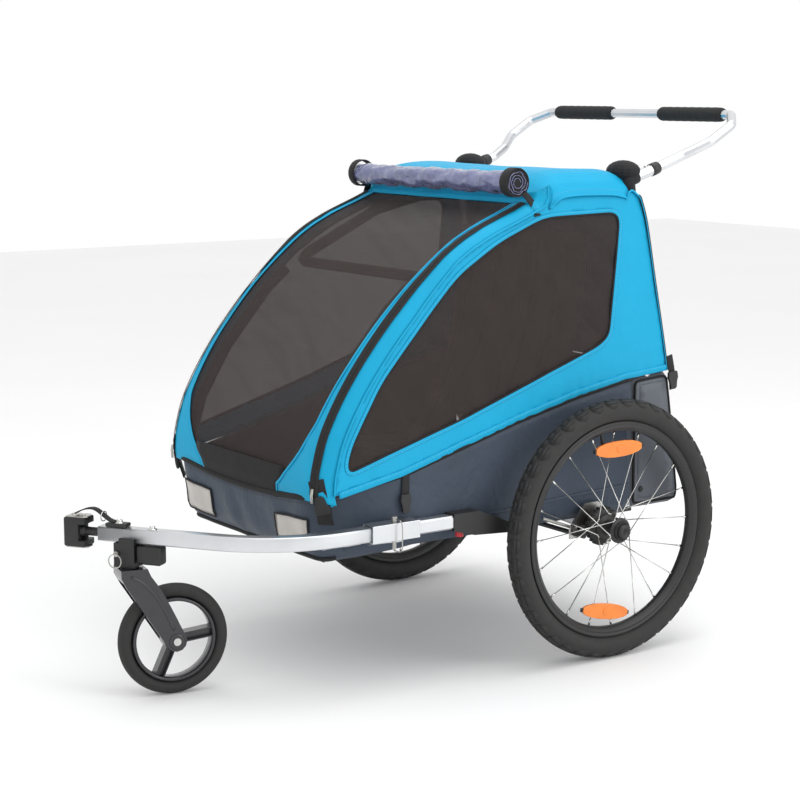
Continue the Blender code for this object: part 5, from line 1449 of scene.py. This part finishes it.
def cap_screw(name, at, radius, slot_name="steel", body="base"):
    """A socket cap screw on its washer, standing up."""
    profile = [(0.0001, 0.0012), (radius * 0.5, 0.0012), (radius * 0.55, radius * 0.95), (radius * 0.9, radius), (radius, radius * 0.85), (radius, 0.0010), (radius * 1.55, 0.0009), (radius * 1.6, 0.0), (0.0001, 0.0)]
    screw = turned(name, profile, (0, 0, 0), 1, chrome, 24)
    screw.data.transform(Matrix.Translation(at) @ Matrix.Rotation(-math.pi / 2, 4, "Y"))
    return sewn(screw, slot_name, body, False)


arm_top = 0.312
cap_screw("strap_screw", arm_at(0.037, 0, arm_top + 0.0070), 0.0056)
cap_screw("bracket_screw", place(0.105, -0.848, arm_top), 0.0052)
cap_screw("rail_screw", place(0.306, -0.232, 0.2795), 0.0045)

# %% [markdown]
# ## Hitch and safety strap
# The clamp turns on the arm's ball and bolts to the bicycle's axle. Two steel plates hold its halves
# together. A webbing strap arches over it as a second line of safety, with a steel ring at its end.

# %% Hitch
ball_at = -0.038
for number, (low, high) in enumerate(((0.0262, 0.0286), (-0.0286, -0.0262))):
    plate_line = [(-0.024, -0.015), (0.010, -0.015), (0.016, -0.009), (0.016, 0.009), (0.010, 0.015), (-0.024, 0.015)]
    sewn(slab(f"clamp_plate_{number}", plate_line, low, high, along_arm(ball_at, 0.299), steel, 0.0006), "steel", "hitch_clamp", False)
    for k, a in enumerate((-0.016, 0.004)):
        spot = along_arm(ball_at, 0.299)(a, 0, high if number == 0 else low - 0.0022)
        bolt = [spot, spot + Vector((0, 0, 0.0022))]
        sewn(swept(f"clamp_bolt_{number}_{k}", bolt, disc(0.0040, 6), chrome, (1, 0, 0), smooth=False), "steel", "hitch_clamp", False)
strap_line = [arm_at(r, 0, arm_top + h) for r, h in ((0.030, 0.0080), (0.018, 0.0105), (0.004, 0.0205), (-0.010, 0.0300), (-0.026, 0.0290), (-0.040, 0.0235), (-0.049, 0.0185))]
safety = swept("safety_strap_webbing", spaced(bent(strap_line, 0.012, 4), 0.004), strap(0.015, 0.0022), webbing, (0, 0, 1))
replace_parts(sewn(safety, "webbing", "base", False), "safety_strap")
side_way = Vector((ARM_ALONG.y, -ARM_ALONG.x, 0))
loop_at = arm_at(0.006, 0, arm_top + 0.0165)
ring = [loop_at + side_way * (0.0105 * math.cos(a)) + Vector((0, 0, 0.0085 * math.sin(a))) for a in [2 * math.pi * i / 24 for i in range(24)]]
sewn(swept("strap_ring", ring, disc(0.0011, 8), chrome, tuple(ARM_ALONG) + (0,), closed=True), "steel", "base", False)

# %% [markdown]
# ## The stroller wheel
# Under the arm a fork swivels on a steel stem. Its wheel is one glossy moulding: a rim, a hub and
# three spokes, each a beam of two walls and a web, which is stiff yet needs little plastic. A solid
# tyre is pressed on. The pieces are made about the axle and then turned with the fork's trail.

# %% Fork, wheel and tyre
joints = {j["name"]: j for j in frame["joints"]}
wheel_at, wheel_axis = Vector(joints["caster_wheel_spin"]["pos_m"]), Vector(joints["caster_wheel_spin"]["axis"])
pivot_at = Vector(joints["caster_swivel"]["pos_m"])
trail = math.atan2(wheel_axis.y, wheel_axis.x)
set_caster = Matrix.Translation(wheel_at) @ Matrix.Rotation(trail, 4, "Z")

solid = [(0.0891 + 0.0125 * math.cos(math.radians(a)), 0.0145 * math.sin(math.radians(a))) for a in range(-165, 166, 10)]
solid = [(r - (0.0007 if abs(abs(z) - 0.005) < 0.0012 and r > 0.09 else 0), z) for r, z in solid]
tyre = turned("stroller_tyre", solid, (0, 0, 0), 1, rubber, 84)
RING = [(0.0770, 0.0125), (0.0770, -0.0125), (0.0752, -0.0138), (0.0728, -0.0138), (0.0708, -0.0125), (0.0702, -0.0030), (0.0702, 0.0030), (0.0708, 0.0125), (0.0728, 0.0138), (0.0752, 0.0138)]
rim = turned("stroller_rim", RING, (0, 0, 0), 1, gloss_nylon, 84)
MIDDLE = [(0.0045, 0.0190), (0.0150, 0.0190), (0.0175, 0.0198), (0.0196, 0.0190), (0.0205, 0.0165), (0.0205, -0.0165), (0.0196, -0.0190), (0.0175, -0.0198), (0.0150, -0.0190), (0.0045, -0.0190)]
middle = turned("stroller_hub", MIDDLE, (0, 0, 0), 1, gloss_nylon, 48)
beam = [(-0.009, -0.0120), (-0.0068, -0.0120), (-0.0062, -0.0018), (0.0062, -0.0018), (0.0068, -0.0120), (0.009, -0.0120), (0.009, 0.0120), (0.0068, 0.0120), (0.0062, 0.0018), (-0.0062, 0.0018), (-0.0068, 0.0120), (-0.009, 0.0120)]
beams = []
for number in range(3):
    spin = math.radians(6 + 120 * number)
    out = Vector((0, math.cos(spin), math.sin(spin)))
    spoke = swept(f"stroller_spoke_{number}", [out * r for r in (0.0165, 0.030, 0.050, 0.0715)], beam, gloss_nylon, (1, 0, 0), smooth=False)
    beams.append(soften(spoke, 0.0008, 2))
whole = joined("stroller_wheel_moulding", [rim, middle, *beams])
for piece, slot_name, cad in ((tyre, "tyre", "caster_tyre"), (whole, "black_plastic", "caster_wheel")):
    piece.data.transform(set_caster)
    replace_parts(sewn(piece, slot_name, "caster_wheel", False), cad)


def on_fork(x, y, z):
    """A point of the fork: across it, along its trail, and up from the floor."""
    turn = Matrix.Rotation(trail, 3, "Z")
    return Vector((pivot_at.x, pivot_at.y, 0)) + turn @ Vector((x, y, z))


for sign in (1, -1):
    groove = [on_fork(sign * 0.0270, y, z) for y, z in ((0.070, 0.124), (0.056, 0.158), (0.038, 0.190), (0.014, 0.216), (-0.006, 0.228))]
    sewn(swept(f"fork_rib_{sign + 1}", spaced(bent(groove, 0.03, 5), 0.006), strap(0.006, 0.0024), gloss_nylon, tuple(on_fork(sign, 0, 0) - on_fork(0, 0, 0))), "black_plastic", "caster_fork", False)
    boss = turned(f"fork_boss_{sign + 1}", [(0.0045, 0.0262), (0.0045, 0.0284), (0.0120, 0.0284), (0.0140, 0.0276), (0.0150, 0.0262)], (0, 0, 0), sign, gloss_nylon, 32)
    boss.data.transform(set_caster)
    sewn(boss, "black_plastic", "caster_fork", False)
crown = [on_fork(0, 0, z) for z in (0.2330, 0.2345, 0.2400, 0.2415)]
sewn(swept("fork_crown", crown, disc(0.0150, 28), nylon, (1, 0, 0)), "black_plastic", "caster_fork", False)
print("stroller wheel faces", len(whole.data.polygons))

# %% [markdown]
# ## Small pieces of the running gear
# The brake's pedal has ribs for the foot, and the axle plates are held by hexagon bolts.

# %% Pedal ribs and plate bolts
for k in range(4):
    y = 0.182 + 0.012 * k
    sewn(swept(f"pedal_rib_{k}", [place(0.089, y, 0.2345), place(0.151, y, 0.2345)], strap(0.004, 0.0022), rubber), "black_plastic", "brake_pedal", False)
for side, sign in (("left", 1), ("right", -1)):
    for k, (y, z) in enumerate(((0.012, 0.274), (-0.040, 0.246))):
        spot = place(sign * 0.3005, y, z)
        sewn(swept(f"plate_bolt_{side}_{k}", [spot, spot + Vector((sign * 0.0035, 0, 0))], disc(0.0050, 6), chrome, (0, 0, 1), smooth=False), "steel", "base", False)

# %% [markdown]
# ## What each cloth was cut from
# Cloth is cut flat before it is sewn. Each sheet is declared with the rectangle that its cut fits
# in, the flat area where the cut is not that rectangle, and what it hangs from or lies on.


sheets = [
    ("cover_roof_and_back", (0.60, 0.68), "stretched", ["roof_hoop"], None, ("cover_stitching",)),
    ("front_mesh_screen", (0.50, 0.74), "hung", ["front_arch"], 0.341, ("mesh_hem",)),
    ("front_solid_panel", (0.322, 0.065), "hung", ["front_arch"], 0.0189, ()),
    ("tub_wall", (1.92, 0.28), "hung", ["side_rail_left", "side_rail_right"], 0.318, ("nose_", "tub_stitching", "reflective_patch", "patch_binding", "cover_tab")),
    ("tub_floor", (0.58, 0.71), "hung", ["side_rail_left", "side_rail_right"], 0.370, ()),
    ("tub_lining", (1.92, 0.27), "hung", ["tub_wall"], 0.300, ()),
    ("tub_lining_floor", (0.58, 0.71), "laid", ["tub_floor"], 0.370, ()),
    ("cargo_bag_wrap", (0.60, 0.78), "hung", ["axle_tube"], None, ("bag_zip", "bag_strap", "bag_buckle")),
    ("rolled_rain_cover", (0.531, 0.31), "folded", ["roof_hoop"], None, ("roll_band", "roll_end_fold")),
]
for side in ("left", "right"):
    sheets += [
        (f"cover_side_{side}", (0.836, 0.443), "stretched", ["roof_hoop", f"side_rail_{side}"], 0.121, (f"window_hem_{side}", f"window_binding_{side}", f"belt_hem_{side}", f"cover_side_seam_{side}")),
        (f"cover_front_strip_{side}", (0.16, 0.74), "stretched", ["front_arch"], 0.0515, (f"zip_tape_{side}", f"zip_pull_{side}")),
        (f"window_mesh_{side}", (0.735, 0.282), "hung", [f"cover_side_{side}"], 0.143, ()),
        (f"cargo_bag_end_{side}", (0.10, 0.23), "hung", ["cargo_bag_wrap"], 0.0187, (f"cargo_bag_piping_{side}", f"bag_rivet_{side}")),
    ]
print("sheets", len(sheets))

# %% [markdown]
# ## Measure and finish
# Cloth that folds with the frame is given a mesh of its own. The two boxes, the frame's and the
# dressed trailer's, are printed so that their sizes can be compared.

# %% Finish
for piece in folding:
    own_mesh(piece)

for small_piece in [o for o in bpy.data.objects if o.name.startswith("small_piece")]:
    bpy.data.objects.remove(small_piece)

floor = as_piece("floor", [(-9, -9, 0), (9, -9, 0), (9, 9, 0), (-9, 9, 0)], [(0, 1, 2, 3)], floor_paint)
floor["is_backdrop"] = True

import json

sizes = [[list(corner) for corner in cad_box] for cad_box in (cad_size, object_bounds())]
print("frame", sizes[0], "dressed", sizes[1])
